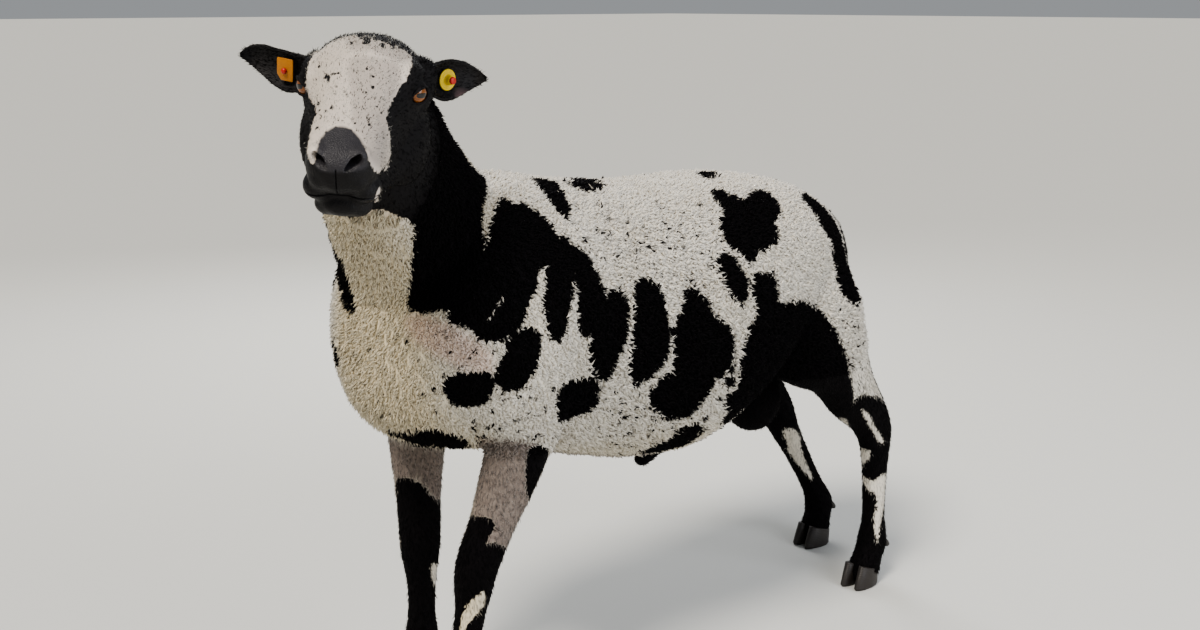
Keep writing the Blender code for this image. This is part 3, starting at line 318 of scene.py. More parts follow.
DARK_PATCHES = {
    "neck and shoulder": (
        (385, 60), (432, 62), (462, 100), (460, 150), (470, 163), (480, 175), (482, 190), (480, 208),
        (481, 230), (485, 250), (489, 228), (495, 208), (501, 200), (512, 205), (525, 206), (541, 217),
        (550, 229), (556, 240), (553, 256), (545, 266), (537, 268), (535, 286), (527, 305), (518, 325),
        (501, 339), (479, 338), (473, 328), (452, 322), (447, 309), (431, 309), (411, 307), (412, 264),
        (414, 228), (405, 216), (385, 208), (375, 150),
    ),
    "shoulder lobe": (
        (552, 240), (561, 238), (571, 244), (575, 262), (571, 288), (568, 305), (564, 328), (556, 341),
        (548, 333), (543, 302), (546, 270),
    ),
    "rib lobe": (
        (566, 250), (575, 247), (585, 256), (595, 273), (601, 291), (602, 308), (594, 326), (586, 334),
        (579, 330), (577, 301), (573, 275),
    ),
    "front stripe": (
        (602, 300), (608, 291), (617, 290), (623, 298), (626, 314), (624, 338), (614, 361), (605, 378),
        (592, 373), (588, 348), (592, 322),
    ),
    "rear stripe": (
        (633, 284), (641, 278), (652, 283), (660, 296), (666, 328), (664, 356), (650, 373), (634, 384),
        (628, 370), (631, 338), (633, 307),
    ),
    "flank": (
        (683, 290), (697, 293), (712, 314), (728, 330), (731, 350), (722, 372), (712, 381), (704, 396),
        (686, 414), (662, 415), (649, 400), (654, 381), (669, 372), (673, 348), (670, 330), (679, 312),
    ),
    "upper flank spot": ((724, 366), (728, 362), (732, 365), (731, 370), (726, 370)),
    "lower flank spot": ((723, 379), (728, 376), (732, 379), (731, 384), (726, 385)),
    "arm": (
        (516, 331), (530, 327), (539, 338), (537, 361), (527, 381), (512, 389), (496, 384), (494, 374),
        (504, 354), (509, 338),
    ),
    "fore arm": (
        (446, 378), (457, 372), (474, 371), (489, 373), (493, 387), (486, 399), (473, 405), (452, 401),
        (444, 388),
    ),
    # Painted shade: this dark patch stands for the shade behind the near foreleg's elbow
    "painted shade behind the elbow": (
        (560, 386), (577, 379), (592, 378), (597, 390), (591, 406), (573, 414), (560, 420), (556, 404),
    ),
    "withers": ((531, 181), (545, 181), (558, 192), (567, 210), (563, 219), (552, 206)),
    "ridge": ((543, 170), (566, 176), (598, 184), (601, 190), (587, 192), (566, 186)),
    "loin": ((690, 168), (703, 166), (717, 173), (712, 179), (699, 178)),
    "chest strip": ((338, 256), (345, 264), (352, 290), (357, 309), (349, 306), (344, 290)),
    "chest side": ((336, 289), (333, 302), (334, 330), (341, 362), (326, 356), (322, 320), (328, 292)),
    "groin": ((745, 398), (783, 396), (786, 430), (762, 446), (735, 436), (720, 420)),
    "clover": (
        (708, 196), (717, 193), (731, 197), (741, 202), (751, 193), (767, 195), (777, 211), (771, 227),
        (776, 236), (769, 247), (760, 248), (753, 259), (746, 263), (737, 252), (725, 246), (718, 225),
        (721, 211),
    ),
    "oval": ((717, 255), (730, 257), (744, 280), (744, 298), (737, 304), (725, 287), (716, 264)),
    "thigh": (
        (755, 272), (770, 275), (775, 292), (777, 303), (799, 301), (819, 312), (836, 337), (847, 367),
        (853, 399), (846, 418), (831, 418), (812, 400), (790, 384), (783, 402), (770, 426), (753, 430),
        (739, 424), (722, 404), (737, 383), (739, 358), (746, 335), (755, 310), (751, 296), (751, 278),
    ),
    "hock": (
        (846, 414), (858, 398), (872, 396), (884, 402), (895, 420), (895, 450), (891, 500), (900, 560),
        (895, 610), (830, 610), (836, 570), (852, 530), (858, 500), (853, 470), (847, 445), (838, 430),
    ),
    "far hind leg": (
        (760, 420), (783, 388), (797, 412), (812, 440), (824, 478), (840, 505), (845, 560), (785, 560),
        (794, 525), (801, 500), (786, 465),
    ),
    "tail": (
        (799, 196), (812, 214), (828, 242), (833, 269), (838, 289), (847, 300), (858, 300), (856, 255),
        (838, 224), (812, 195),
    ),
    "brisket": ((389, 428), (405, 432), (425, 428), (463, 437), (462, 446), (425, 447), (398, 440)),
    "near fore leg": (
        (463, 520), (477, 517), (490, 520), (494, 527), (487, 538), (484, 543), (498, 545), (505, 548),
        (520, 560), (500, 640), (505, 780), (400, 780), (435, 640), (452, 570),
    ),
    "far fore leg": (
        (396, 484), (416, 482), (434, 499), (446, 508), (450, 560), (455, 640), (430, 780), (360, 780),
        (400, 640), (402, 560),
    ),
    "behind the fore arm": ((529, 450), (544, 446), (548, 470), (535, 496), (527, 490)),
    "sheath": ((690, 422), (700, 430), (672, 450), (655, 470), (630, 470), (634, 452), (662, 440)),
}
# Pale marks inside the dark ones
PALE_PATCHES = {
    "shoulder streak": ((501, 296), (500, 301), (489, 317), (487, 316), (495, 306)),
    "hock line": ((862, 409), (868, 414), (876, 428), (884, 441), (880, 443), (872, 430), (864, 416)),
    "hock spot": ((836, 420), (845, 419), (848, 426), (841, 430)),
    "hock wedge": ((857, 449), (871, 452), (863, 464)),
    "cannon": (
        (861, 475), (872, 481), (886, 472), (887, 492), (881, 520), (877, 545), (874, 520), (877, 496),
        (868, 490),
    ),
    "far thigh": (
        (783, 430), (794, 429), (800, 438), (802, 452), (812, 478), (803, 470), (789, 452), (786, 440),
    ),
    "near cannon": ((482, 592), (486, 600), (479, 612), (467, 626), (462, 640), (461, 622), (466, 606)),
    "far cannon": ((431, 564), (438, 566), (437, 583), (432, 582)),
    "mouth corner": ((377, 192), (380, 187), (381, 191), (378, 199), (375, 201)),
}
THROAT = ((316, 212), (334, 217), (352, 218), (368, 212), (379, 209), (396, 215), (408, 224), (412, 262),
          (360, 270), (318, 262))
# Face: the white blaze, the dark swirl in it and the grey leathery nose
BLAZE = (
    (309, 66), (313, 55), (328, 44), (345, 37), (360, 35), (385, 43), (402, 50), (411, 56), (410, 72),
    (402, 84), (394, 97), (387, 116), (389, 133), (390, 150), (387, 168), (378, 173), (371, 164),
    (362, 143), (352, 131), (341, 127), (331, 129), (322, 138), (317, 150), (313, 164), (307, 152),
    (311, 130), (316, 112), (311, 100), (306, 86),
)
FACE_SPOTS = (
    ((367, 40), 5.0), ((361, 35), 4.0), ((376, 37), 5.0), ((327, 77), 3.0), ((328, 80), 2.2),
    ((366, 92), 1.4), ((373, 87), 1.4), ((383, 46), 3.2), ((352, 42), 2.6), ((392, 49), 2.4),
)
NOSE = ((342, 127), (331, 129), (322, 138), (317, 150), (316, 166), (330, 172), (356, 170), (368, 164),
        (362, 143), (352, 131))
GREY_HAIR_AND_CHEEK_SHEEN = {
    "near fore arm": (
        (478, 442), (500, 436), (530, 440), (545, 455), (538, 500), (520, 560), (500, 552), (484, 545),
        (470, 520), (474, 480),
    ),
    "far fore arm": ((380, 436), (425, 446), (445, 452), (446, 508), (416, 484), (398, 486), (384, 460)),
    # On the near cheek the grey is partly grey hair and partly painted sheen of light glancing off the dark
    # hair
    "cheek": ((300, 88), (309, 92), (313, 112), (306, 135), (299, 120)),
    "shin": ((455, 560), (481, 560), (480, 580), (455, 580)),
    "far knee": ((407, 535), (420, 533), (420, 548), (408, 548)),
}
# Ticking: a patch of small spots, as left, top, right, bottom, count, and least and largest radius
TICKS = (
    (470, 384, 562, 440, 56, 0.8, 2.2),
    (340, 330, 450, 425, 36, 0.7, 1.8),
    (545, 205, 715, 290, 100, 0.4, 1.5),
    (600, 396, 705, 446, 44, 0.8, 2.2),
    (712, 350, 744, 410, 18, 1.2, 3.4),
    (440, 330, 500, 380, 14, 0.8, 2.4),
    (640, 200, 720, 240, 18, 0.6, 1.2),
    (314, 66, 350, 130, 34, 0.5, 1.3),
    (350, 60, 392, 165, 26, 0.4, 1.0),
    (838, 300, 866, 400, 18, 0.5, 1.4),
)
# Dark hairs among pale ones: outline and share of dark tufts
ROAN = (
    (((350, 58), (396, 62), (398, 90), (388, 112), (389, 142), (384, 168), (371, 160), (360, 138),
      (352, 126), (350, 100)), 0.42),
    (((312, 60), (350, 40), (352, 124), (330, 125), (318, 138), (313, 100)), 0.15),
    (((345, 33), (372, 30), (405, 42), (414, 58), (396, 62), (372, 52), (350, 50)), 0.45),
    (((540, 215), (620, 200), (700, 225), (716, 270), (690, 290), (640, 275), (602, 262), (560, 232)), 0.03),
    (((838, 300), (852, 300), (866, 360), (880, 398), (858, 404), (846, 360)), 0.12),
    (((600, 392), (700, 400), (690, 440), (600, 452)), 0.04),
)
# Pink skin that shows through thin wool
PINK = (
    ((408, 314), (440, 318), (470, 334), (492, 352), (490, 372), (462, 368), (432, 352), (412, 336)),
    ((477, 440), (492, 438), (497, 452), (492, 470), (480, 470)),
)
# Far side, made in the manner of the breed: y, z, half length, half height, turn in degrees
FAR_PATCHES = (
    (-0.400, 0.770, 0.150, 0.120, -50.0),
    (-0.300, 0.640, 0.085, 0.120, -20.0),
    (-0.205, 0.690, 0.042, 0.075, 12.0),
    (-0.190, 0.520, 0.050, 0.070, -10.0),
    (-0.100, 0.585, 0.036, 0.095, 8.0),
    (-0.015, 0.500, 0.038, 0.082, -12.0),
    (0.060, 0.570, 0.032, 0.085, 6.0),
    (0.145, 0.470, 0.050, 0.075, 20.0),
    (0.165, 0.680, 0.060, 0.034, -12.0),
    (0.300, 0.650, 0.050, 0.052, 15.0),
    (0.255, 0.560, 0.026, 0.040, 0.0),
    (0.350, 0.500, 0.075, 0.085, -35.0),
    (0.440, 0.590, 0.030, 0.070, 10.0),
    (-0.060, 0.735, 0.034, 0.022, 5.0),
    (-0.290, 0.445, 0.040, 0.034, 0.0),
    (0.020, 0.385, 0.045, 0.026, 0.0),
)
FAR_PIXEL = 0.0017  # size of a pixel of the picture at the sheep
EDGE_GROWTH = 1.0  # pixels by which dark patches grow, because pale locks lean over their edges


def unit(vector):
    return Vector(vector).normalized()


def head_matrix():
    """From (left, forward, up) in the head to the sheep's frame."""
    turn = Matrix.Rotation(math.radians(HEAD_YAW), 3, "Z")
    turn = turn @ Matrix.Rotation(math.radians(HEAD_PITCH), 3, "X")
    turn = turn @ Matrix.Rotation(math.radians(HEAD_ROLL), 3, "Y")
    axes = Matrix(((1, 0, 0), (0, -1, 0), (0, 0, 1)))
    return Matrix.Translation(HEAD_PLACE) @ (turn @ axes).to_4x4()


HEAD = head_matrix()


def in_head(point):
    return HEAD @ Vector(point)


def head_way(vector):
    return (HEAD.to_3x3() @ Vector(vector)).normalized()


def add_mesh(name, vertices, faces):
    """A new mesh object whose faces point outwards."""
    mesh = bpy.data.meshes.new(name)
    mesh.from_pydata([tuple(v) for v in vertices], [], faces)
    work = bmesh.new()
    work.from_mesh(mesh)
    bmesh.ops.recalc_face_normals(work, faces=work.faces)
    work.to_mesh(mesh)
    work.free()
    obj = bpy.data.objects.new(name, mesh)
    bpy.context.scene.collection.objects.link(obj)
    return obj


def curve_point(before, start, end, after, share):
    """Point between start and end on a Catmull-Rom curve."""
    return 0.5 * (
        2 * start
        + (end - before) * share
        + (2 * before - 5 * start + 4 * end - after) * share ** 2
        + (3 * start - before - 3 * end + after) * share ** 3
    )


def smooth_rows(rows, steps):
    """Curve through rows of numbers, with steps between two rows."""
    rows = np.array(rows, dtype=float)
    padded = np.vstack([2 * rows[0] - rows[1], rows, 2 * rows[-1] - rows[-2]])
    result = []
    for i in range(len(rows) - 1):
        result += [curve_point(*padded[i:i + 4], step / steps) for step in range(steps)]
    return np.array(result + [rows[-1]])


def oval(half, up, down, power, sides):
    """Points of a rounded section as pairs (across, up)."""
    angles = np.arange(sides) * 2 * math.pi / sides
    across = half * np.sign(np.cos(angles)) * np.abs(np.cos(angles)) ** (2 / power)
    rise = np.sign(np.sin(angles)) * np.abs(np.sin(angles)) ** (2 / power)
    rise = np.where(rise > 0, rise * up, rise * down)
    return np.column_stack([across, rise])


def circle(count):
    """Cosine and sine at even steps round a circle."""
    angles = [2 * math.pi * i / count for i in range(count)]
    return [(math.cos(angle), math.sin(angle)) for angle in angles]


def skin_rings(name, rings):
    """Closed body through rings of equal count, with flat ends."""
    count = len(rings[0])
    faces = []
    for i in range(len(rings) - 1):
        for j in range(count):
            k = (j + 1) % count
            faces.append((i * count + j, i * count + k, (i + 1) * count + k, (i + 1) * count + j))
    faces.append(tuple(reversed(range(count))))
    faces.append(tuple((len(rings) - 1) * count + j for j in range(count)))
    return add_mesh(name, [p for ring in rings for p in ring], faces)


def section_form(name, sections, place, inset=0.0, sides=32):
    """Loft through upright sections: how far along, half width, top, bottom and squareness."""
    rings = []
    for along, half, top, bottom, power in smooth_rows(sections, 4):
        middle = (top + bottom) / 2
        tall = max((top - bottom) / 2 - inset, 0.003)
        section = oval(max(half - inset, 0.003), tall, tall, power, sides)
        rings.append([place((x, along, middle + z)) for x, z in section])
    return skin_rings(name, rings)


def limb_form(name, sections, inset=0.0, side=(1, 0, 0), sides=20, steps=4):
    """Loft along a bent path. The section's width lies along side, and its front half
    faces -Y on a leg that runs down, or up on the neck."""
    rows = [(*centre, half, front, back) for centre, half, front, back in sections]
    rows = smooth_rows(rows, steps)
    centres = rows[:, :3]
    ways = np.gradient(centres, axis=0)
    rings = []
    for centre, way, (half, front, back) in zip(centres, ways, rows[:, 3:]):
        way = unit(way)
        across = unit(Vector(side) - way * Vector(side).dot(way))
        ahead = way.cross(across)
        half, front, back = (max(size - inset, 0.003) for size in (half, front, back))
        section = oval(half, front, back, 2.0, sides)
        rings.append([Vector(centre) + across * a + ahead * b for a, b in section])
    return skin_rings(name, rings)


def placed(name, matrix):
    """Names the primitive just added and moves its mesh, so that the object stays at the origin."""
    obj = bpy.context.object
    obj.name = name
    obj.data.name = name
    obj.data.transform(matrix)
    if matrix.determinant() < 0:
        obj.data.flip_normals()
    return obj


def ball(name, matrix, segments=20, rings=12):
    """Sphere of radius one, placed by a matrix."""
    bpy.ops.object.select_all(action="DESELECT")
    bpy.ops.mesh.primitive_uv_sphere_add(segments=segments, ring_count=rings, radius=1.0)
    return placed(name, matrix)


def head_ball(name, place, radii, turn=0.0):
    """Ellipsoid in the head's frame, turned about its upright."""
    matrix = HEAD @ Matrix.Translation(place)
    matrix = matrix @ Matrix.Rotation(math.radians(turn), 4, "Z")
    return ball(name, matrix @ Matrix.Diagonal((*radii, 1.0)))


def mirrored(place, side):
    """A place on the left, or the same one on the right where side is -1."""
    return (place[0] * side, place[1], place[2])


def remove(obj):
    """Takes away an object and its mesh."""
    mesh = obj.data
    bpy.data.objects.remove(obj)
    if mesh.users == 0:
        bpy.data.meshes.remove(mesh)


def apply_modifier(obj, kind, **settings):
    """Adds a modifier and applies it."""
    modifier = obj.modifiers.new(kind.title(), kind)
    for key, value in settings.items():
        setattr(modifier, key, value)
    with bpy.context.temp_override(object=obj, active_object=obj):
        bpy.ops.object.modifier_apply(modifier=modifier.name)


def join(objects, name):
    """One mesh from several closed ones, for a remesh to fuse."""
    work = bmesh.new()
    for obj in objects:
        work.from_mesh(obj.data)
    mesh = bpy.data.meshes.new(name)
    work.to_mesh(mesh)
    work.free()
    for obj in objects:
        remove(obj)
    result = bpy.data.objects.new(name, mesh)
    bpy.context.scene.collection.objects.link(result)
    return result


def cut(obj, cutter, operation="DIFFERENCE"):
    """Cuts with a form, or adds it, and takes the form away."""
    apply_modifier(obj, "BOOLEAN", operation=operation, object=cutter, solver="MANIFOLD")
    remove(cutter)


def keep_largest(obj):
    """Drops all but the surface with most vertices."""
    work = bmesh.new()
    work.from_mesh(obj.data)
    left = set(work.verts)
    groups = []
    while left:
        group = {left.pop()}
        edge = list(group)
        while edge:
            vertex = edge.pop()
            for link in vertex.link_edges:
                other = link.other_vert(vertex)
                if other not in group:
                    group.add(other)
                    edge.append(other)
        left -= group
        groups.append(group)
    groups.sort(key=len)
    bmesh.ops.delete(work, geom=[v for group in groups[:-1] for v in group], context="VERTS")
    work.to_mesh(obj.data)
    work.free()


def slab(name, point, way, width, depth):
    """Box with one face on the plane through point, reaching depth along way."""
    matrix = Matrix.Translation(point) @ unit(way).to_track_quat("Z", "Y").to_matrix().to_4x4()
    matrix = matrix @ Matrix.Translation((0, 0, depth / 2))
    matrix = matrix @ Matrix.Diagonal((width, width, depth, 1.0))
    bpy.ops.object.select_all(action="DESELECT")
    bpy.ops.mesh.primitive_cube_add(size=1.0)
    return placed(name, matrix)


def fuse(obj, voxel, turns):
    """Fuses overlapping forms into one skin and smooths where they meet."""
    apply_modifier(obj, "REMESH", mode="VOXEL", voxel_size=voxel)
    apply_modifier(obj, "SMOOTH", factor=0.5, iterations=turns)


def flesh_lofts(inset):
    """Torso, neck and limbs before they are fused."""
    lofts = [section_form("torso_loft", TORSO, tuple, inset, 40)]
    lofts.append(limb_form("neck_loft", NECK, inset * 0.5, (0.8, 0.6, 0), 28))
    for side in (1, -1):
        sections = [(mirrored(centre, side), *sizes) for centre, *sizes in SHOULDER]
        lofts.append(limb_form("shoulder_loft", sections, inset))
    return lofts + [limb_form("leg_loft", sections) for sections in LEGS.values()]


def head_lofts():
    """Skull, jaw and broad swellings of the head before they are fused."""
    lofts = [section_form("skull_loft", SKULL, in_head), section_form("jaw_loft", JAW, in_head)]
    for side in (1, -1):
        for place, radii, turn in BROAD_SWELLINGS:
            lofts.append(head_ball("swelling", mirrored(place, side), radii, turn * -side))
    return lofts


def head_details():
    """Lips, nostril wings and lids, fused with the head in a second turn."""
    forms = []
    for side in (1, -1):
        for place, radii, turn in FINE_SWELLINGS:
            forms.append(head_ball("swelling", mirrored(place, side), radii, turn * -side))
        radius = EYE_RADIUS + LID_DEPTH
        forms.append(head_ball("lids", mirrored(EYE_PLACE, side), (radius,) * 3))
    return forms


def eye_matrix(side):
    """From the eye's frame, with +Z out of the pupil and X along the opening."""
    yaw = math.radians(EYE_YAW)
    rise = math.radians(EYE_RISE)
    out = Vector((side * math.sin(yaw), math.cos(yaw), math.sin(rise))).normalized()
    along = Vector((side * -math.cos(yaw), math.sin(yaw), -0.22)).normalized()
    along = (along - out * along.dot(out)).normalized()
    across = out.cross(along)
    turn = Matrix((along, across, out)).transposed().to_4x4()
    return HEAD @ Matrix.Translation(mirrored(EYE_PLACE, side)) @ turn


def eye_opening(side, count):
    """Almond prism that opens the lids."""
    long_half, high_half = EYE_OPENING
    place = eye_matrix(side)
    rings = []
    for depth, scale in ((0.004, 0.8), (0.030, 1.35)):
        ring = []
        for across, rise in circle(count):
            x = long_half * across
            y = high_half * lid_reach(side, across, rise)
            ring.append(place @ Vector((x * scale, y * scale, depth)))
        rings.append(ring)
    return skin_rings("opening", rings)


def muzzle_point(tree, angle, level):
    """Point of the muzzle's surface seen from inside it, at an angle from forward."""
    start = Vector((0.0, 0.080, level))
    way = Vector((math.sin(angle), math.cos(angle), 0.0))
    far = in_head(start + way * 0.15)
    hit = tree.ray_cast(far, -head_way(way))
    return HEAD.inverted() @ hit[0], way


def groove(name, tree, course, side, edge, reach):
    """Wedge over the muzzle along a course of turn from forward, level, depth and half width."""
    side = Vector(side)
    rings = []
    for angle, level, deep, wide in course:
        point, way = muzzle_point(tree, angle, level)
        inner = point - way * deep
        outer = point + way * reach
        ring = (inner - side * edge, outer - side * wide, outer + side * wide, inner + side * edge)
        rings.append([in_head(corner) for corner in ring])
    return skin_rings(name, rings)


def muzzle_grooves(tree):
    """Line of the mouth, and the upright groove from the nostrils to it."""
    mouth = []
    for i in range(25):
        share = (i - 12) / 12
        level = -0.0525 - 0.012 * share ** 2
        deep = 0.0042 * (1 - 0.45 * abs(share))
        mouth.append((share * math.radians(82), level, deep, 0.00288 * (1 - 0.35 * abs(share))))
    lip = [(0.0, -0.014 - 0.0380 * i / 6, 0.0026, 0.0022) for i in range(7)]
    return [
        groove("mouth", tree, mouth, (0, 0, 1), 0.0003, 0.006),
        groove("philtrum", tree, lip, (1, 0, 0), 0.0002, 0.005),
    ]


def nostril(side):
    """Comma-shaped hollow that runs back and up into the muzzle."""
    lean = math.radians(24)
    rings = []
    for depth, scale in ((0.012, 1.15), (0.0, 1.0), (-0.010, 0.75), (-0.018, 0.35)):
        middle = Vector((side * (0.0168 + depth * 0.45), 0.149 + depth, -0.0090 - depth * 0.1))
        ring = []
        for a, b in circle(24):
            x = 0.0126 * a
            y = 0.0050 * b * (1.0 + 0.30 * a) + 16.0 * max(x, 0.0) ** 2
            across = x * math.cos(lean) - y * math.sin(lean)
            rise = x * math.sin(lean) + y * math.cos(lean)
            ring.append(in_head(middle + Vector((side * across * scale, 0, rise * scale))))
        rings.append(ring)
    return skin_rings("nostril", rings)


def ear_axes(ear):
    """Root of an ear, the way along it, the way it opens and the way across it."""
    along = head_way(ear[1])
    opening = head_way(ear[2])
    opening = (opening - along * opening.dot(along)).normalized()
    return in_head(ear[0]), along, opening, along.cross(opening)


def ear_form(name, ear):
    """Cupped leaf: each section is an arc with a wall, closed at its edges. Returned with how deep
    in the cup each vertex lies."""
    root, along, opening, across = ear_axes(ear)
    rings = []
    depths = []
    count = 19
    for share, half, roll, wall, hollow in smooth_rows(EAR, 7):
        angle = math.radians(roll) / 2
        radius = half / math.sin(min(angle, math.radians(90)))
        centre = root + along * (share * EAR_LENGTH)
        centre = centre - opening * (0.05 * EAR_LENGTH * share ** 2)
        centre.z -= ear[3] * math.sin(math.pi * min(share, 1.0))
        outer = []
        inner = []
        cup = []
        for i in range(count):
            turn = angle * (2 * i / (count - 1) - 1)
            way = -opening * math.cos(turn) + across * math.sin(turn)
            mouth = across * (radius * math.sin(turn)) - opening * (radius * math.cos(angle))
            outer.append(centre + way * radius)
            deep = way * (radius - wall)
            inner.append(centre + deep * hollow + mouth * (1 - hollow) * 0.93)
            below = max(centre.z - inner[-1].z, 0.0) / radius
            cup.append(1.5 * below * math.exp(-((share - 0.74) / 0.17) ** 2))
        rings.append(outer + inner[::-1])
        depths += [0.0] * count + cup[::-1]
    leaf = skin_rings(name, rings)
    return leaf, depths + [0.0] * (len(leaf.data.vertices) - len(depths))


def claw_form(name, foot, side):
    """One half of a cloven hoof, flat below, with a sloping front wall."""
    (x, y), heading = FEET[foot]
    place = Matrix.Translation((x, y, 0)) @ Matrix.Rotation(math.radians(heading), 4, "Z")
    half = CLAW_WIDTH / 2
    middle = side * (half + CLAW_GAP / 2)
    rings = []
    profile = (
        (0.000, 0.90, 0.031, 0.027),
        (0.003, 1.00, 0.033, 0.029),
        (0.020, 0.97, 0.027, 0.030),
        (0.050, 0.86, 0.014, 0.032),
    )
    for z, wide, front, back in profile:
        section = oval(half * wide, back, front, 2.4, 12)
        ring = []
        for a, b in section:
            taper = 1 - 0.35 * max(-b / front, 0) ** 2
            ring.append(place @ Vector((middle + a * taper, b, z)))
        rings.append(ring)
    return skin_rings(name, rings)


def dewclaw_form(name, foot, side):
    """Small blunt claw behind the fetlock, the last wide section above the pastern."""
    place = Matrix.Translation(LEGS[foot][-5][0])
    place = place @ Matrix.Rotation(math.radians(FEET[foot][1]), 4, "Z")
    rings = []
    for share, radius in ((0.0, 0.0065), (0.5, 0.0065), (0.85, 0.0045), (1.0, 0.0020)):
        middle = Vector((side * (0.0125 + 0.003 * share), 0.016 + 0.014 * share, -0.002 - 0.014 * share))
        ring = [middle + Vector((a, 0.7 * b, 0.7 * b)) * radius for a, b in circle(8)]
        rings.append([place @ point for point in ring])
    return skin_rings(name, rings)


def turned(name, matrix, profile, sides):
    """Turned body from pairs (radius, height) along the matrix's Z."""
    rings = []
    for radius, height in profile:
        rings.append([matrix @ Vector((radius * a, radius * b, height)) for a, b in circle(sides)])
    return skin_rings(name, rings)


def ear_frame(ear, share, depth):
    """Place inside the cup of an ear, with Z out of the cup and Y towards the tip."""
    root, along, opening, across = ear_axes(ear)
    centre = root + along * (share * EAR_LENGTH) - opening * depth
    centre.z -= ear[3] * math.sin(math.pi * share)
    turn = Matrix((across, along, opening)).transposed().to_4x4()
    return Matrix.Translation(centre) @ turn


def flag_panel(name, frame):
    """Thin plate with two clipped corners and rounded ones below."""
    outline = (
        (-0.0045, 0.0110), (-0.0120, 0.0056), (-0.0122, -0.0100), (-0.0112, -0.0110),
        (0.0140, -0.0112), (0.0148, -0.0104), (0.0148, 0.0102), (0.0138, 0.0110),
    )
    rings = []
    for height in (0.0, 0.0018):
        rings.append([frame @ Vector((a, b, height)) for a, b in outline])
    return skin_rings(name, rings)


def read_array(items, key, width, kind=float):
    """Values of mesh items as rows of numbers."""
    values = np.empty(len(items) * width, dtype=kind)
    items.foreach_get(key, values)
    return values.reshape(-1, width)


def ramp(values, start, end):
    """0 at start, 1 at end, eased between."""
    share = np.clip((values - start) / (end - start), 0.0, 1.0)
    return share * share * (3 - 2 * share)


def head_plane_distance(points):
    """How far points lie past the cut between neck and head."""
    point = np.array(in_head(HEAD_CUT[0]))
    return (points - point) @ np.array(head_way(HEAD_CUT[1]))


def head_local(points):
    """Points in the head's frame."""
    matrix = np.array(HEAD.inverted())
    return points @ matrix[:3, :3].T + matrix[:3, 3]


# Markings as signed distances in pixels, above zero inside

def camera_axes():
    """Ways ahead, right and up in the picture."""
    ahead = np.array((
        -math.sin(CAMERA_TURN) * math.cos(CAMERA_FALL),
        math.cos(CAMERA_TURN) * math.cos(CAMERA_FALL),
        -math.sin(CAMERA_FALL),
    ))
    right = np.array((math.cos(CAMERA_TURN), math.sin(CAMERA_TURN), 0.0))
    return ahead, right, np.cross(right, ahead)


def in_picture(points):
    """Pixels at which points stand in the picture."""
    ahead, right, up = camera_axes()
    rays = points - np.array(CAMERA_PLACE)
    depth = rays @ ahead
    across = MIDDLE[0] + FOCUS * (rays @ right) / depth
    down = MIDDLE[1] - FOCUS * (rays @ up) / depth
    return np.column_stack([across, down])


def smooth_outline(corners, steps=4):
    """Closed curve through the corners."""
    points = np.array(corners, dtype=float)
    before, after, beyond = (np.roll(points, turn, axis=0) for turn in (1, -1, -2))
    curve = [curve_point(before, points, after, beyond, step / steps) for step in range(steps)]
    return np.stack(curve, axis=1).reshape(-1, 2)


def inside_by(pixels, corners, reach=14.0):
    """Signed distance of pixels to an outline, no less than -reach."""
    outline = smooth_outline(corners)
    result = np.full(len(pixels), -reach)
    low, high = outline.min(axis=0) - reach, outline.max(axis=0) + reach
    near = np.nonzero(((pixels > low) & (pixels < high)).all(axis=1))[0]
    if not len(near):
        return result
    points = pixels[near]
    nearest = np.full(len(near), 1e9)
    crossings = np.zeros(len(near), dtype=int)
    for start, end in zip(outline, np.roll(outline, -1, axis=0)):
        edge = end - start
        share = np.clip(((points - start) @ edge) / max(edge @ edge, 1e-9), 0.0, 1.0)
        nearest = np.minimum(nearest, ((points - start - share[:, None] * edge) ** 2).sum(axis=1))
        spans = (start[1] > points[:, 1]) != (end[1] > points[:, 1])
        rise = edge[1] if edge[1] else 1e-9
        crossings += spans & (points[:, 0] < start[0] + edge[0] * (points[:, 1] - start[1]) / rise)
    sign = np.where(crossings % 2 == 1, 1.0, -1.0)
    result[near] = np.maximum(sign * np.sqrt(nearest), -reach)
    return result


def tick_distance(pixels):
    """Signed distance to the nearest of the many small spots."""
    chooser = random.Random(SEED)
    result = np.full(len(pixels), -14.0)
    for left, top, right, bottom, count, least, largest in TICKS:
        region = np.nonzero(
            (pixels[:, 0] > left - 4) & (pixels[:, 0] < right + 4)
            & (pixels[:, 1] > top - 4) & (pixels[:, 1] < bottom + 4)
        )[0]
        for _ in range(count):
            place = (chooser.uniform(left, right), chooser.uniform(top, bottom))
            radius = chooser.uniform(least, largest)
            away = radius - np.hypot(pixels[region, 0] - place[0], pixels[region, 1] - place[1])
            result[region] = np.maximum(result[region], away)
    return result


def near_side_dark(pixels, on_head, ahead):
    """Patches, ticks and face on the side that the picture shows, where ahead is how far
    towards the nose a point lies."""
    body = np.full(len(pixels), -14.0)
    for corners in DARK_PATCHES.values():
        body = np.maximum(body, inside_by(pixels, corners) + EDGE_GROWTH)
    face = -inside_by(pixels, BLAZE)
    for (x, y), radius in FACE_SPOTS:
        face = np.maximum(face, radius - np.hypot(pixels[:, 0] - x, pixels[:, 1] - y))
    dark = np.where(on_head, face, body)
    throat = inside_by(pixels, THROAT)
    dark = np.where(on_head & (ahead < 0.060), np.minimum(dark, -throat), dark)
    dark = np.maximum(dark, tick_distance(pixels))
    for corners in PALE_PATCHES.values():
        dark = np.minimum(dark, -inside_by(pixels, corners))
    return dark


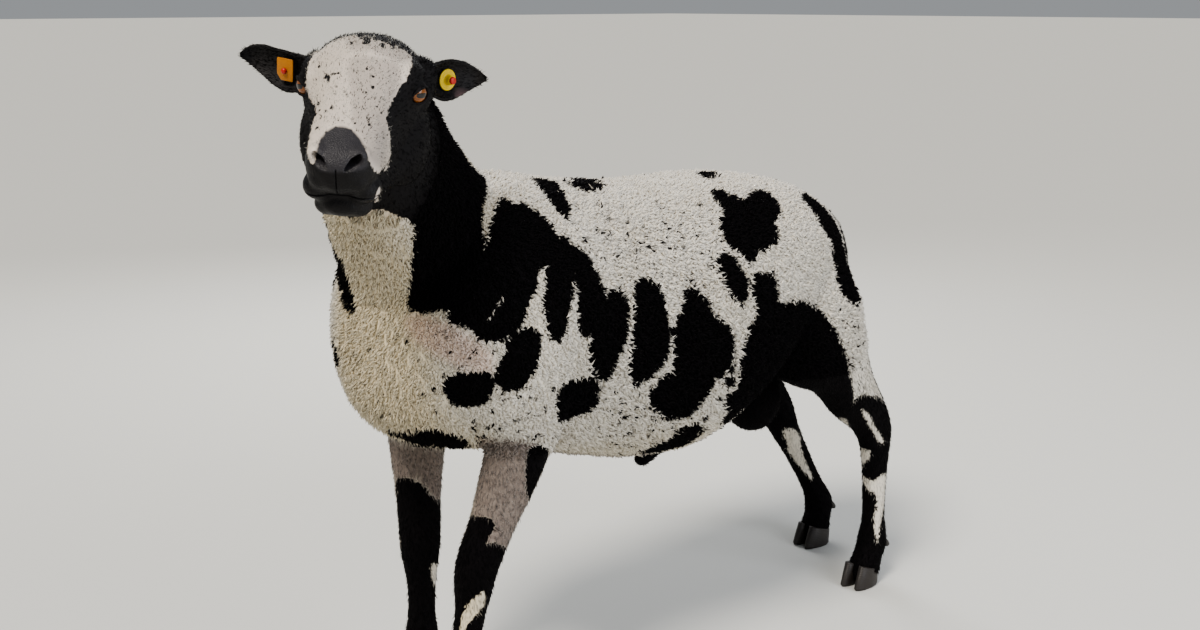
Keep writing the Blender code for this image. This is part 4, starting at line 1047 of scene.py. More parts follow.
def far_side_dark(points):
    """Patches on the side that the picture doesn't show."""
    x, y, z = points.T
    result = np.full(len(points), -14.0)
    for middle_y, middle_z, long_half, high_half, turn in FAR_PATCHES:
        angle = math.radians(turn)
        along = (y - middle_y) * math.cos(angle) + (z - middle_z) * math.sin(angle)
        across = (z - middle_z) * math.cos(angle) - (y - middle_y) * math.sin(angle)
        around = np.arctan2(across / high_half, along / long_half)
        wave = 1 + 0.09 * np.sin(2 * around + middle_y * 40) + 0.07 * np.sin(3 * around + middle_y * 70)
        reach = np.hypot(along / long_half, across / high_half) / wave
        result = np.maximum(result, (1 - reach) * min(long_half, high_half) / FAR_PIXEL)
    chooser = random.Random(SEED + 1)
    for _ in range(90):
        place = (chooser.uniform(-0.35, 0.40), chooser.uniform(0.40, 0.70))
        radius = chooser.uniform(0.8, 2.2)
        result = np.maximum(result, radius - np.hypot(y - place[0], z - place[1]) / FAR_PIXEL)
    return np.maximum(result, -14.0)


def hidden_dark(points):
    """Dark legs, tail, belly strip and back of the head, where the picture doesn't show them."""
    x, y, z = points.T
    dark = np.where(x < 0.02, far_side_dark(points), -14.0)
    wave = 0.012 * np.sin(34 * (x + y)) + 0.008 * np.sin(71 * y - 40 * x)
    fore_legs = (0.300 + wave - z) / FAR_PIXEL
    hind_legs = (0.425 + 1.5 * wave - z - 0.2 * np.abs(y - 0.42)) / FAR_PIXEL
    nape = np.minimum(z - 0.790 + 0.25 * x, -0.335 - y) / FAR_PIXEL
    dark = np.maximum(dark, nape)
    legs = np.where(y < 0.0, fore_legs, hind_legs)
    dark = np.maximum(dark, np.where(z < 0.46, legs, -14.0))
    tail = (0.034 - np.hypot(x, 0.5 * np.maximum(0.44 - y, 0.0))) / FAR_PIXEL
    dark = np.maximum(dark, np.where((y > 0.44) & (z > 0.44) & (z < 0.70), tail, -14.0))
    groin = (np.where(x > 0.0, 0.21, 0.13) - np.hypot(x, y - 0.28)) / FAR_PIXEL
    dark = np.maximum(dark, np.where((z < 0.50) & (y > 0.14) & (y < 0.38), groin, -14.0))
    sheath = (0.024 - np.abs(x)) / FAR_PIXEL
    dark = np.maximum(dark, np.where((z < 0.40) & (y > -0.02) & (y < 0.25), sheath, -14.0))
    return np.clip(dark, -14.0, 14.0)


def darkness(points, pixels, local, on_head, seen):
    """How far inside the dark coat points lie, seen or hidden, with a ring round each eye."""
    hidden = np.where(on_head, 12.0, hidden_dark(points))
    dark = near_side_dark(pixels, on_head, local[:, 1]) * seen + hidden * (1 - seen)
    for side in (1, -1):
        away = np.linalg.norm((local - np.array(mirrored(EYE_PLACE, side))) * (1.0, 1.0, 1.2), axis=1)
        dark = np.where(on_head, np.maximum(dark, (EYE_RING - away) / FAR_PIXEL), dark)
    return dark


def wool_share(points, to_head):
    """Fleece against hair: none on legs, head, groin, tail and sheath."""
    x, y, z = points.T
    groin = ramp(np.hypot(x, y - 0.31), 0.15, 0.08) * ramp(z, 0.50, 0.46) * (y > 0.20)
    tail = (y > 0.475) * (np.abs(x) < 0.034) * (z > 0.47) * 1.0
    hind = ramp(z - 0.5 * np.maximum(y - 0.36, 0), 0.405, 0.44)
    fleece = np.where(y < -0.20, ramp(z, 0.405, 0.435), hind)
    fleece = np.where((y > -0.20) & (y < 0.22), 1.0, fleece)
    fleece = fleece * ramp(to_head, 0.006, -0.020) * (1 - groin) * (1 - tail)
    sheath = (np.abs(x) < 0.024) & (z < 0.345) & (y > 0.02) & (y < 0.17)
    return np.where(sheath, 0.0, fleece)


def soft_outlines(pixels, seen, outlines, low, high, start=0.0):
    """Strongest share of some outlines whose edges fade from low to high, from pairs of corners
    and share."""
    result = np.zeros(len(pixels)) + start
    for corners, share in outlines:
        result = np.maximum(result, share * ramp(inside_by(pixels, corners), low, high) * seen)
    return result


def markings(points, normals):
    """Attributes of the coat at points of the skin, in the frame before SHIFT."""
    to_head = head_plane_distance(points)
    on_head = to_head > 0.0
    pixels = in_picture(points)
    rays = np.array(CAMERA_PLACE) - points
    facing = (normals * rays).sum(axis=1) / np.linalg.norm(rays, axis=1)
    seen = ramp(facing, -0.05, 0.15)
    local = head_local(points)
    x, y, z = points.T
    grey = soft_outlines(pixels, seen, [(corners, 1.0) for corners in GREY_HAIR_AND_CHEEK_SHEEN.values()], -4.0, 6.0)
    arm = ramp(z, 0.455, 0.40) * ramp(z, 0.25, 0.27) * (y < 0.0)
    throat = 0.85 * ramp(np.abs(x - 0.02), 0.13, 0.06) * ramp(y, -0.28, -0.36)
    throat_patch = inside_by(pixels, THROAT)
    throat = np.where(on_head, 0.85 * ramp(throat_patch, -8.0, 0.0), throat)
    belly = 0.40 * ramp(z, 0.43, 0.36) * (y > -0.20) * (y < 0.24)
    under_jaw = ramp(throat_patch, -3.0, 3.0) * seen * ramp(local[:, 1], 0.062, 0.050)
    nose = np.where(on_head, ramp(inside_by(pixels, NOSE), -2.5, 1.5) * seen, 0.0)
    lips = np.where(on_head, ramp(local[:, 1], 0.118, 0.132) * ramp(local[:, 2], 0.004, -0.004), 0.0)
    return {
        "roan": soft_outlines(pixels, seen, ROAN, -5.0, 5.0, np.where(seen < 0.5, 0.02, 0.0)),
        "pink": soft_outlines(pixels, seen, [(corners, 0.45) for corners in PINK], -6.0, 8.0),
        "dark": darkness(points, pixels, local, on_head, seen),
        "grey": np.maximum(grey, arm * (1 - seen)),
        "warm": np.clip(throat + belly, 0.0, 1.0),
        "fleece": np.maximum(wool_share(points, to_head), np.where(on_head, under_jaw, 0.0)),
        "bare": np.maximum(lips, nose),
        "nose": nose,
        "neck": ramp(to_head, -0.28, -0.08) * (~on_head),
        "head": ramp(to_head, -0.02, 0.02),
    }


def store(obj, name, values):
    """Keeps a number for each vertex."""
    attribute = obj.data.attributes.new(name, "FLOAT", "POINT")
    attribute.data.foreach_set("value", np.asarray(values, dtype=np.float32))


# Skin

def skin_form():
    """Whole skin of the sheep in one closed mesh, with lids, lips, nostrils and mouth."""
    blank = join(flesh_lofts(COAT_DEPTH) + head_lofts() + hanging_forms(), "skin")
    fuse(blank, SKIN_VOXEL, 24)
    skin = join([blank] + head_details(), "skin")
    fuse(skin, SKIN_VOXEL, 4)
    keep_largest(skin)
    thin_by_weight(skin, SKIN_TRIANGLES)
    tree = BVHTree.FromPolygons(
        [v.co for v in skin.data.vertices], [p.vertices for p in skin.data.polygons]
    )
    for hollow in muzzle_grooves(tree) + [nostril(1), nostril(-1)]:
        cut(skin, hollow)
    for side in (1, -1):
        cut(skin, eye_opening(side, 40))
        cut(skin, lid_rim(side), "UNION")
        cut(skin, ball("socket", eye_matrix(side) @ Matrix.Scale(EYE_RADIUS + 0.0002, 4), 48, 32))
    keep_largest(skin)
    return skin


def upper_lid(side, rise):
    """Share of the upper lid, 0 on the lower one, where rise is the sine round the eye."""
    up = (eye_matrix(side).to_3x3() @ Vector((0.0, 1.0, 0.0))).z
    return max(math.copysign(rise, rise * up), 0.0)


def lid_reach(side, across, rise):
    """How far a lid stands from the middle of the eye: the upper one hangs lower."""
    reach = rise * (1 - 0.16 * abs(across))
    return reach * (UPPER_LID if upper_lid(side, rise) > 0.0 else 1.0)


def lid_rim(side):
    """Rounded margin of both lids around the opening, heavier above."""
    long_half, high_half = EYE_OPENING
    place = eye_matrix(side)
    reach = EYE_RADIUS + LID_DEPTH - 0.0004
    count, sides = 48, 10
    points = []
    for across, rise in circle(count):
        flat = Vector((long_half * across, high_half * lid_reach(side, across, rise), 0.0)) * 1.06
        thick = 0.0014 + 0.0008 * upper_lid(side, rise)
        centre = Vector((flat.x, flat.y, math.sqrt(reach ** 2 - flat.length ** 2)))
        out = centre.normalized()
        aside = (flat - out * flat.dot(out)).normalized()
        points += [place @ (centre + (out * b + aside * a) * thick) for a, b in circle(sides)]
    faces = []
    for i in range(count):
        for j in range(sides):
            a, b = i * sides, (i + 1) % count * sides
            k = (j + 1) % sides
            faces.append((a + j, a + k, b + k, b + j))
    return add_mesh("lid_rim", points, faces)


def hanging_forms():
    """Tail, scrotum and sheath."""
    forms = (("tail", TAIL, 20, 4), ("scrotum", SCROTUM, 24, 4), ("sheath", SHEATH, 16, 3))
    return [limb_form(name, rows, sides=sides, steps=steps) for name, rows, sides, steps in forms]


def thin_by_weight(obj, triangles):
    """Fewer triangles, taken from the body, so that the head keeps its fine ones."""
    apply_modifier(obj, "TRIANGULATE")
    points = read_array(obj.data.vertices, "co", 3)
    weights = ramp(head_plane_distance(points), 0.01, -0.03)
    group = obj.vertex_groups.new(name="thin")
    for level in range(1, 11):
        chosen = np.nonzero((weights > (level - 1) / 10) & (weights <= level / 10))[0]
        group.add([int(i) for i in chosen], level / 10, "REPLACE")
    ratio = min(1.0, triangles / len(obj.data.polygons))
    apply_modifier(obj, "DECIMATE", ratio=ratio, vertex_group="thin", vertex_group_factor=1.0)
    obj.vertex_groups.clear()


def dress_skin(skin, hide):
    """Markings and material of the skin."""
    points = read_array(skin.data.vertices, "co", 3)
    normals = read_array(skin.data.vertex_normals, "vector", 3)
    for name, values in markings(points, normals).items():
        store(skin, name, values)
    paint(skin, hide)
    skin.data.shade_smooth()


def paint(obj, material):
    """Gives a piece one material, in place of the empty slots that cuts leave."""
    obj.data.materials.clear()
    obj.data.materials.append(material)
    obj.data.polygons.foreach_set("material_index", np.zeros(len(obj.data.polygons), dtype=np.int32))


# Tufts

def mesh_samples(obj, count, seed):
    """Points spread by area over a mesh, with their normals, and the loops and shares that tell
    where in its triangle each lies."""
    mesh = obj.data
    mesh.calc_loop_triangles()
    corners = read_array(mesh.loop_triangles, "vertices", 3, np.int64)
    loops = read_array(mesh.loop_triangles, "loops", 3, np.int64)
    points = read_array(mesh.vertices, "co", 3)
    normals = read_array(mesh.vertex_normals, "vector", 3)
    a, b, c = (points[corners[:, i]] for i in range(3))
    area = np.linalg.norm(np.cross(b - a, c - a), axis=1)
    numbers = np.random.default_rng(seed)
    chosen = numbers.choice(len(corners), size=count, p=area / area.sum())
    u = numbers.random(count)
    v = numbers.random(count)
    fold = u + v > 1
    u = np.where(fold, 1 - u, u)[:, None]
    v = np.where(fold, 1 - v, v)[:, None]
    shares = np.concatenate([1 - u - v, u, v], axis=1)
    place = (points[corners[chosen]] * shares[:, :, None]).sum(axis=1)
    normal = (normals[corners[chosen]] * shares[:, :, None]).sum(axis=1)
    normal /= np.linalg.norm(normal, axis=1)[:, None]
    return place, normal, loops[chosen], shares


def spread(place, spacing):
    """Indices of points that leave about one to each cell, so that none crowd."""
    cells = np.floor(place / spacing).astype(np.int64)
    key = (cells[:, 0] * 73856093) ^ (cells[:, 1] * 19349663) ^ (cells[:, 2] * 83492791)
    return np.sort(np.unique(key, return_index=True)[1])


def unwrapped(obj, loops, shares):
    """Place of samples on the unwrap of their mesh."""
    values = read_array(obj.data.uv_layers["OFBake"].data, "uv", 2)
    return (values[loops] * shares[:, :, None]).sum(axis=1)


def along_skin(ways, normals):
    """Ways turned flat onto the skin, of length one."""
    ways = ways - normals * (ways * normals).sum(axis=1)[:, None]
    return ways / (np.linalg.norm(ways, axis=1)[:, None] + 1e-9)


def blend(first, second, share):
    """Ways turned from the first to the second by a share."""
    share = share[:, None]
    return first * (1 - share) + np.array(second) * share


def coat_flow(points, normals):
    """Way the coat lies: back along the body, down the legs and away from the nose."""
    to_head = head_plane_distance(points)
    x, y, z = points.T
    way = np.tile(np.array((0.0, 1.0, -0.45)), (len(points), 1))
    way = blend(way, (-0.25, 0.55, -0.85), ramp(to_head, -0.30, -0.05))
    way = blend(way, (0.0, 0.25, -1.0), ramp(y, -0.28, -0.38) * (to_head < 0))
    way = blend(way, (0.0, 0.15, -1.0), ramp(z, 0.46, 0.38) * np.maximum(y < -0.2, y > 0.22))
    back = np.array(head_way((0.0, -1.0, 0.0)))
    face = blend(back, head_way((0.0, -0.5, -0.9)), ramp(head_local(points)[:, 2], 0.02, -0.05))
    return along_skin(blend(way, face, ramp(to_head, -0.02, 0.02)), normals)


def tuft_points(tufts, shape, seed):
    """Vertices of each tuft, a tapered lock of a few sides that leans along its way and curls."""
    sides, rows, lean = shape
    roots, normals, ways, length, radius, curl = (
        tufts[key] for key in ("root", "normal", "way", "length", "radius", "curl")
    )
    numbers = np.random.default_rng(seed)
    count = len(roots)
    turn = numbers.normal(0.0, curl, count)
    across = np.cross(normals, ways)
    ways = ways * np.cos(turn)[:, None] + across * np.sin(turn)[:, None]
    across = np.cross(normals, ways)
    tilt = np.radians(lean + numbers.normal(0.0, 9.0, count))
    twist = numbers.uniform(0, 2 * math.pi, count)
    bend = numbers.normal(0.0, curl * 0.5, count)
    rings = []
    for row in range(rows):
        share = row / rows
        wide = radius * (1 - share ** 2 * 0.45) * (0.8 if row == 0 else 1.0)
        angle = tilt - share * 0.5 * curl
        rise = (share * length * np.sin(angle))[:, None]
        run = (share * length * np.cos(angle))[:, None]
        swing = (bend * share ** 2 * length)[:, None]
        middle = roots + normals * rise + ways * run + across * swing
        for side in range(sides):
            phase = (twist + 2 * math.pi * side / sides)[:, None]
            offset = across * np.cos(phase) + (normals * 0.9 + ways * -0.45) * np.sin(phase)
            rings.append(middle + offset * wide[:, None])
    tip = roots + normals * (length * np.sin(tilt - curl * 0.5))[:, None]
    tip = tip + ways * (length * np.cos(tilt - curl * 0.5))[:, None]
    rings.append(tip + across * (bend * length * 1.2)[:, None])
    return np.stack(rings, axis=1)


def tuft_faces(sides, rows):
    """Triangles of one tuft, closed at its root and tip."""
    faces = []
    for row in range(rows - 1):
        for side in range(sides):
            a = row * sides + side
            b = row * sides + (side + 1) % sides
            faces += [(a, b, b + sides), (a, b + sides, a + sides)]
    last = (rows - 1) * sides
    for side in range(sides):
        faces.append((last + side, last + (side + 1) % sides, rows * sides))
    faces += [(0, side + 1, side) for side in range(1, sides - 1)]
    return np.array(faces)


def tuft_mesh(name, tufts, marks, shape, fibre, seed):
    """Joined tufts. shape holds their sides, rows and lean, and tufts an array for each of root,
    normal, way, uv, length, radius and curl."""
    sides, rows, lean = shape
    points = tuft_points(tufts, shape, seed)
    count, per = points.shape[:2]
    index = tuft_faces(sides, rows)[None, :, :] + (np.arange(count) * per)[:, None, None]
    total = index.shape[0] * index.shape[1]
    mesh = bpy.data.meshes.new(name)
    mesh.vertices.add(count * per)
    mesh.vertices.foreach_set("co", (points + np.array(SHIFT)).astype(np.float32).ravel())
    mesh.loops.add(total * 3)
    mesh.loops.foreach_set("vertex_index", index.astype(np.int32).ravel())
    mesh.polygons.add(total)
    mesh.polygons.foreach_set("loop_start", np.arange(0, total * 3, 3, dtype=np.int32))
    mesh.polygons.foreach_set("loop_total", np.full(total, 3, dtype=np.int32))
    mesh.update()
    mesh.validate()
    obj = bpy.data.objects.new(name, mesh)
    bpy.context.scene.collection.objects.link(obj)
    for key, values in marks.items():
        store(obj, key, np.repeat(values, per))
    along = np.append(np.repeat(np.arange(rows) / rows, sides), 1.0)
    store(obj, "along", np.tile(along, count))
    patch_uv(mesh, tufts["uv"], along, sides, index)
    mesh.materials.append(fibre)
    mesh.shade_smooth()
    return obj


def patch_uv(mesh, uv, along, sides, index):
    """Gives each tuft a small patch of the unwrap at the place of its root."""
    reach = (1 - along)[:, None] * PATCH / 2
    ring = np.resize(circle(sides), (len(along), 2))
    corners = uv[:, None, :] + (ring * reach)[None, :, :]
    layer = mesh.uv_layers.new(name="OFBake")
    values = corners.reshape(-1, 2)[index.reshape(-1)]
    layer.data.foreach_set("uv", values.astype(np.float32).ravel())


def mottle(marks, numbers, jitter):
    """Ragged edges of the patches and single dark locks among pale ones."""
    count = len(marks["dark"])
    dark = marks["dark"] + numbers.normal(0.0, jitter, count)
    single = (numbers.random(count) < marks["roan"]) & ((dark < 0.0) | (marks["head"] > 0.5))
    marks["dark"] = np.where(single, numbers.uniform(-0.7, 1.6, count), dark)


def chosen_rows(values, rows):
    """The same rows of each array."""
    return {key: value[rows] for key, value in values.items()}


def gather(place, spacing):
    """For each point, the way to the middle of its lock and how far out of the lock it lies."""
    middles = place[spread(place, spacing)]
    tree = KDTree(len(middles))
    for number, middle in enumerate(middles):
        tree.insert(middle, number)
    tree.balance()
    nearest = np.array([tree.find(point)[0] for point in place])
    towards = nearest - place
    return towards / spacing, np.clip(np.linalg.norm(towards, axis=1) / (spacing * 0.75), 0.0, 1.0)


def lay(label, parts, order, tufts, marks, shape, fibre, seed):
    """Tufts in a few pieces, split along an order, so that none is too large."""
    pieces = []
    for number, rows in enumerate(np.array_split(order, parts)):
        piece = tuft_mesh(
            f"{label}_{number + 1}", chosen_rows(tufts, rows), chosen_rows(marks, rows),
            shape, fibre, seed + number,
        )
        pieces.append(piece)
    return pieces


def add_fleece(skin, fibre, parts):
    """Short dense curls over the body and neck, longer on the throat and chest."""
    place, normal, loops, shares = mesh_samples(skin, FLEECE_SAMPLES, SEED)
    keep = spread(place, FLEECE_SPACING)
    marks = markings(place[keep], normal[keep])
    wool = marks["fleece"] > 0.45
    keep = keep[wool]
    marks = chosen_rows(marks, wool)
    place, normal = place[keep], normal[keep]
    towards, outer = gather(place, LOCK_SPACING)
    numbers = np.random.default_rng(SEED + 3)
    soft = marks["warm"] * (place[:, 2] > 0.43)
    length = FLEECE_LENGTH * numbers.uniform(0.8, 1.15, len(keep))
    length = length * (1 + 0.40 * soft) * (1 - 0.30 * marks["neck"])
    radius = FLEECE_RADIUS * numbers.uniform(0.85, 1.2, len(keep)) * (1 - 0.42 * soft)
    # Painted shade: tufts darken towards the edge of their lock, where locks shade each other, mixed with
    # some random tone
    marks["shade"] = 0.35 * numbers.random(len(keep)) + 0.65 * (1 - outer)
    mottle(marks, numbers, 0.2)
    tufts = {
        "root": place - normal * 0.002,
        "normal": normal,
        "way": along_skin(coat_flow(place, normal) + towards * 1.3, normal),
        "uv": unwrapped(skin, loops[keep], shares[keep]),
        "length": length * (0.6 + 0.4 * marks["fleece"]) * (1.12 - 0.30 * outer),
        "radius": radius,
        "curl": 0.62 * (1 - 0.5 * soft),
    }
    order = np.argsort(place[:, 1], kind="stable")
    return lay("fleece", parts, order, tufts, marks, (3, 2, 58.0), fibre, SEED)


def add_hair(skin, fibre, parts):
    """Short flat hair on the head, legs and tail, finest on the face."""
    place, normal, loops, shares = mesh_samples(skin, HAIR_SAMPLES, SEED + 40)
    marks = markings(place, normal)
    hairy = (marks["fleece"] <= 0.6) & (marks["bare"] < 0.4)
    hairy &= clear_of_eyes(place) & (place[:, 2] > HAIR_LOWEST)
    place, normal, loops, shares = (values[hairy] for values in (place, normal, loops, shares))
    marks = chosen_rows(marks, hairy)
    fine = marks["head"] > 0.5
    keep = np.concatenate([
        np.nonzero(fine)[0][spread(place[fine], FACE_SPACING)],
        np.nonzero(~fine)[0][spread(place[~fine], HAIR_SPACING)],
    ])
    marks = chosen_rows(marks, keep)
    place, normal = place[keep], normal[keep]
    numbers = np.random.default_rng(SEED + 41)
    on_head = ramp(head_plane_distance(place), -0.02, 0.02)
    poll = on_head * ramp(head_local(place)[:, 1], -0.02, -0.06)
    length = (HAIR_LENGTH - 0.0028 * on_head + 0.003 * poll) * numbers.uniform(0.7, 1.2, len(keep))
    radius = (HAIR_RADIUS - 0.00035 * on_head) * numbers.uniform(0.8, 1.2, len(keep))
    marks["shade"] = numbers.random(len(keep))
    mottle(marks, numbers, 1.1)
    tufts = {
        "root": place - normal * 0.0007,
        "normal": normal,
        "way": coat_flow(place, normal),
        "uv": unwrapped(skin, loops[keep], shares[keep]),
        "length": length,
        "radius": radius * (HAIR_SPACING / 0.0034),
        "curl": np.full(len(keep), 0.28),
    }
    order = np.argsort(place[:, 2], kind="stable")
    return lay("hair", parts, order, tufts, marks, (3, 1, 21.0), fibre, SEED + 50)


def clear_of_eyes(points):
    """Where no hair would cross an eye or a nostril."""
    local = head_local(points)
    clear = np.ones(len(points), dtype=bool)
    for side in (1, -1):
        away = np.linalg.norm(local - np.array(mirrored(EYE_PLACE, side)), axis=1)
        clear &= away > EYE_RADIUS + LID_DEPTH + 0.0016
    nostrils = np.hypot(np.abs(local[:, 0]) - 0.0155, local[:, 2] + 0.0085)
    return clear & ~((nostrils < 0.012) & (local[:, 1] > 0.12))


# Materials

MIX = {"out": 2, "data_type": "RGBA"}  # settings of a node that mixes colours


def srgb(code):
    """Linear colour of an sRGB hex value."""
    channels = [int(code[i:i + 2], 16) / 255 for i in (0, 2, 4)]
    return tuple(c / 12.92 if c <= 0.04045 else ((c + 0.055) / 1.055) ** 2.4 for c in channels) + (1.0,)


def fill(node, values):
    """Sets or links inputs of a node, named or numbered."""
    for key, value in values.items():
        if isinstance(value, bpy.types.NodeSocket):
            node.id_data.links.new(value, node.inputs[key])
        else:
            node.inputs[key].default_value = value


def new_material(name, **values):
    """A material with constants on its shader, and what adds nodes to it."""
    material = bpy.data.materials.new(name)
    material.use_nodes = True
    shader = material.node_tree.nodes["Principled BSDF"]
    fill(shader, {key.replace("_", " "): value for key, value in values.items()})
    return material, shader, partial(add, material)


def add(material, kind, values=(), out=0, **settings):
    """Adds a node with its settings and inputs, and returns one of its outputs."""
    node = material.node_tree.nodes.new("ShaderNode" + kind)
    for key, value in settings.items():
        setattr(node, key, value)
    fill(node, values if isinstance(values, dict) else dict(enumerate(values)))
    return node.outputs[out]


def coat_colour(node, ragged):
    """Colour of wool and hair from the markings that skin and tufts share."""
    place = node("TexCoord", out="Object")
    patchy, wavy, fine = (
        node("TexNoise", {"Vector": place, "Scale": scale, "Detail": detail, "Roughness": 0.55}, "Fac")
        for scale, detail in ((14.0, 3.0), (55.0, 3.0), (160.0, 2.0))
    )
    warm, pink, dark, grey = (
        node("Attribute", out="Fac", attribute_name=name) for name in ("warm", "pink", "dark", "grey")
    )
    cream = node("Mix", {0: patchy, 6: srgb("EBE6DB"), 7: srgb("D6CEBE")}, **MIX)
    cream = node("Mix", {0: warm, 6: cream, 7: srgb("DDD0B2")}, **MIX)
    cream = node("Mix", {0: pink, 6: cream, 7: srgb("D9B5A6")}, **MIX)
    black = node("Mix", {0: fine, 6: srgb("070607"), 7: srgb("141113")}, **MIX)
    brown = node("Mix", {0: fine, 6: srgb("5C524D"), 7: srgb("A3968C")}, **MIX)
    wave = node("Math", (wavy, 0.5), operation="SUBTRACT")
    wave = node("Math", (wave, 4.0), operation="MULTIPLY")
    edge = node("Math", (fine, 0.5), operation="SUBTRACT")
    edge = node("Math", (edge, ragged, wave), operation="MULTIPLY_ADD")
    dark = node("Math", (dark, edge), operation="ADD")
    dark = node("MapRange", (dark, -0.8, 0.8), interpolation_type="SMOOTHSTEP")
    light = node("Math", (1.0, dark), operation="SUBTRACT")
    grey = node("Math", (grey, light), operation="MULTIPLY")
    coat = node("Mix", {0: dark, 6: cream, 7: black}, **MIX)
    return node("Mix", {0: grey, 6: coat, 7: brown}, **MIX), fine, light


def skin_material():
    """Hide with short hair: matt, with the hair's fine grain along the body, and smooth leathery
    skin on the nose and lips."""
    material, shader, node = new_material("haired_hide", IOR=1.45)
    coat, fine, light = coat_colour(node, 7.0)
    head, roan, nose, bare = (
        node("Attribute", out="Fac", attribute_name=name) for name in ("head", "roan", "nose", "bare")
    )
    for mark, most, colour in ((head, 0.45, "B9A69C"), (roan, 0.9, "4A4345")):
        share = node("Math", (mark, light), operation="MULTIPLY")
        share = node("Math", (share, most), operation="MULTIPLY")
        coat = node("Mix", {0: share, 6: coat, 7: srgb(colour)}, **MIX)
    leather = node("Mix", {0: fine, 6: srgb("2B2A2D"), 7: srgb("3A383B")}, **MIX)
    coat = node("Mix", {0: nose, 6: coat, 7: leather}, **MIX)
    place = node("TexCoord", out="Object")
    # Hair grain of about 1 mm, drawn at 2.5 mm to show
    along = node("Mapping", {"Vector": place, "Scale": (1.0, 0.45, 0.45)})
    grain = node("TexNoise", {"Vector": along, "Scale": 420.0, "Detail": 3.0, "Roughness": 0.55}, "Fac")
    pores = node("TexVoronoi", {"Vector": place, "Scale": 620.0}, "Distance")
    relief = node("Mix", {0: bare, 6: grain, 7: pores}, **MIX)
    height = node("Bump", {"Height": relief, "Strength": 0.45, "Distance": 0.0012})
    smooth = node("MapRange", (bare, 0.0, 1.0), interpolation_type="SMOOTHSTEP")
    rough = node("MapRange", {0: smooth, 3: 0.74, 4: 0.42})
    gloss = node("MapRange", {0: head, 3: 0.08, 4: 0.3})
    fill(shader, {"Base Color": coat, "Normal": height, "Roughness": rough, "Specular IOR Level": gloss})
    return material


def fibre_material(name, ragged, low, high, roughness):
    """Wool or hair: fibres in locks, matt and soft, darker at the root where little light comes."""
    material, shader, node = new_material(name, Roughness=roughness, IOR=1.5, Sheen_Roughness=0.5)
    coat, fine, light = coat_colour(node, ragged)
    shade, along = (
        node("Attribute", out="Fac", attribute_name=name) for name in ("shade", "along")
    )
    shade = node("MapRange", {0: shade, 3: low, 4: high})
    root = node("MapRange", {0: along, 3: 0.68, 4: 1.05})
    level = node("Math", (shade, root), operation="MULTIPLY")
    level = node("CombineColor", (level, level, level))
    coat = node("Mix", {0: 1.0, 6: coat, 7: level}, blend_type="MULTIPLY", **MIX)
    # Pale wool scatters light between its fibres, black wool drinks it
    sheen = node("Math", (light, 0.25), operation="MULTIPLY")
    gloss = node("MapRange", {0: light, 3: 0.09, 4: 0.35})
    fill(shader, {"Base Color": coat, "Sheen Weight": sheen, "Specular IOR Level": gloss})
    return material


def ear_material():
    """Thin ear with short black hair outside and grey-pink skin deep in the cup."""
    material, shader, node = new_material("ear_hide", Roughness=0.7, IOR=1.45)
    place = node("TexCoord", out="Object")
    fine = node("TexNoise", {"Vector": place, "Scale": 300.0, "Detail": 3.0, "Roughness": 0.55}, "Fac")
    black = node("Mix", {0: fine, 6: srgb("0D0C0D"), 7: srgb("221E1F")}, **MIX)
    pink = node("Mix", {0: fine, 6: srgb("4A3A3B"), 7: srgb("6B5553")}, **MIX)
    inner = node("Attribute", out="Fac", attribute_name="inner")
    inner = node("MapRange", (inner, 0.3, 0.95), interpolation_type="SMOOTHSTEP")
    colour = node("Mix", {0: inner, 6: black, 7: pink}, **MIX)
    height = node("Bump", {"Height": fine, "Strength": 0.4, "Distance": 0.001})
    fill(shader, {"Base Color": colour, "Normal": height})
    return material


def eye_material():
    """Wet eyeball: amber iris with fine streaks, a level bar-shaped pupil and a dark rim."""
    material, shader, node = new_material(
        "amber_eye", Roughness=0.08, IOR=1.38, Coat_Weight=0.6, Coat_Roughness=0.03
    )
    gaze = node("Attribute", out="Vector", attribute_name="gaze")
    streak = node("TexNoise", {"Vector": gaze, "Scale": 9.0, "Detail": 4.0}, "Fac")
    iris = node("Mix", {0: streak, 6: srgb("5A2C0E"), 7: srgb("A4652A")}, **MIX)
    across = node("VectorMath", {0: gaze, 1: (1.0, 1.0, 0.0)}, operation="MULTIPLY")
    away = node("VectorMath", {0: across}, "Value", operation="LENGTH")
    rim = node("MapRange", (away, 0.60, 0.72), interpolation_type="SMOOTHSTEP")
    colour = node("Mix", {0: rim, 6: iris, 7: srgb("120B08")}, **MIX)
    # The pupil is a bar 0.96 by 0.38 of the ball's radius, squarer at its ends
    x, y, z = (node("SeparateXYZ", (gaze,), axis) for axis in "XYZ")
    bar = []
    for side, half, power in ((x, 0.48, 4.0), (y, 0.19, 2.0)):
        side = node("Math", (side,), operation="ABSOLUTE")
        side = node("Math", (side, half), operation="DIVIDE")
        bar.append(node("Math", (side, power), operation="POWER"))
    bar = node("Math", bar, operation="ADD")
    pupil = node("MapRange", (bar, 1.15, 0.85), interpolation_type="SMOOTHSTEP")
    front = node("MapRange", (z, 0.0, 0.1), interpolation_type="SMOOTHSTEP")
    pupil = node("Math", (pupil, front), operation="MULTIPLY")
    colour = node("Mix", {0: pupil, 6: colour, 7: srgb("050406")}, **MIX)
    fill(shader, {"Base Color": colour})
    return material


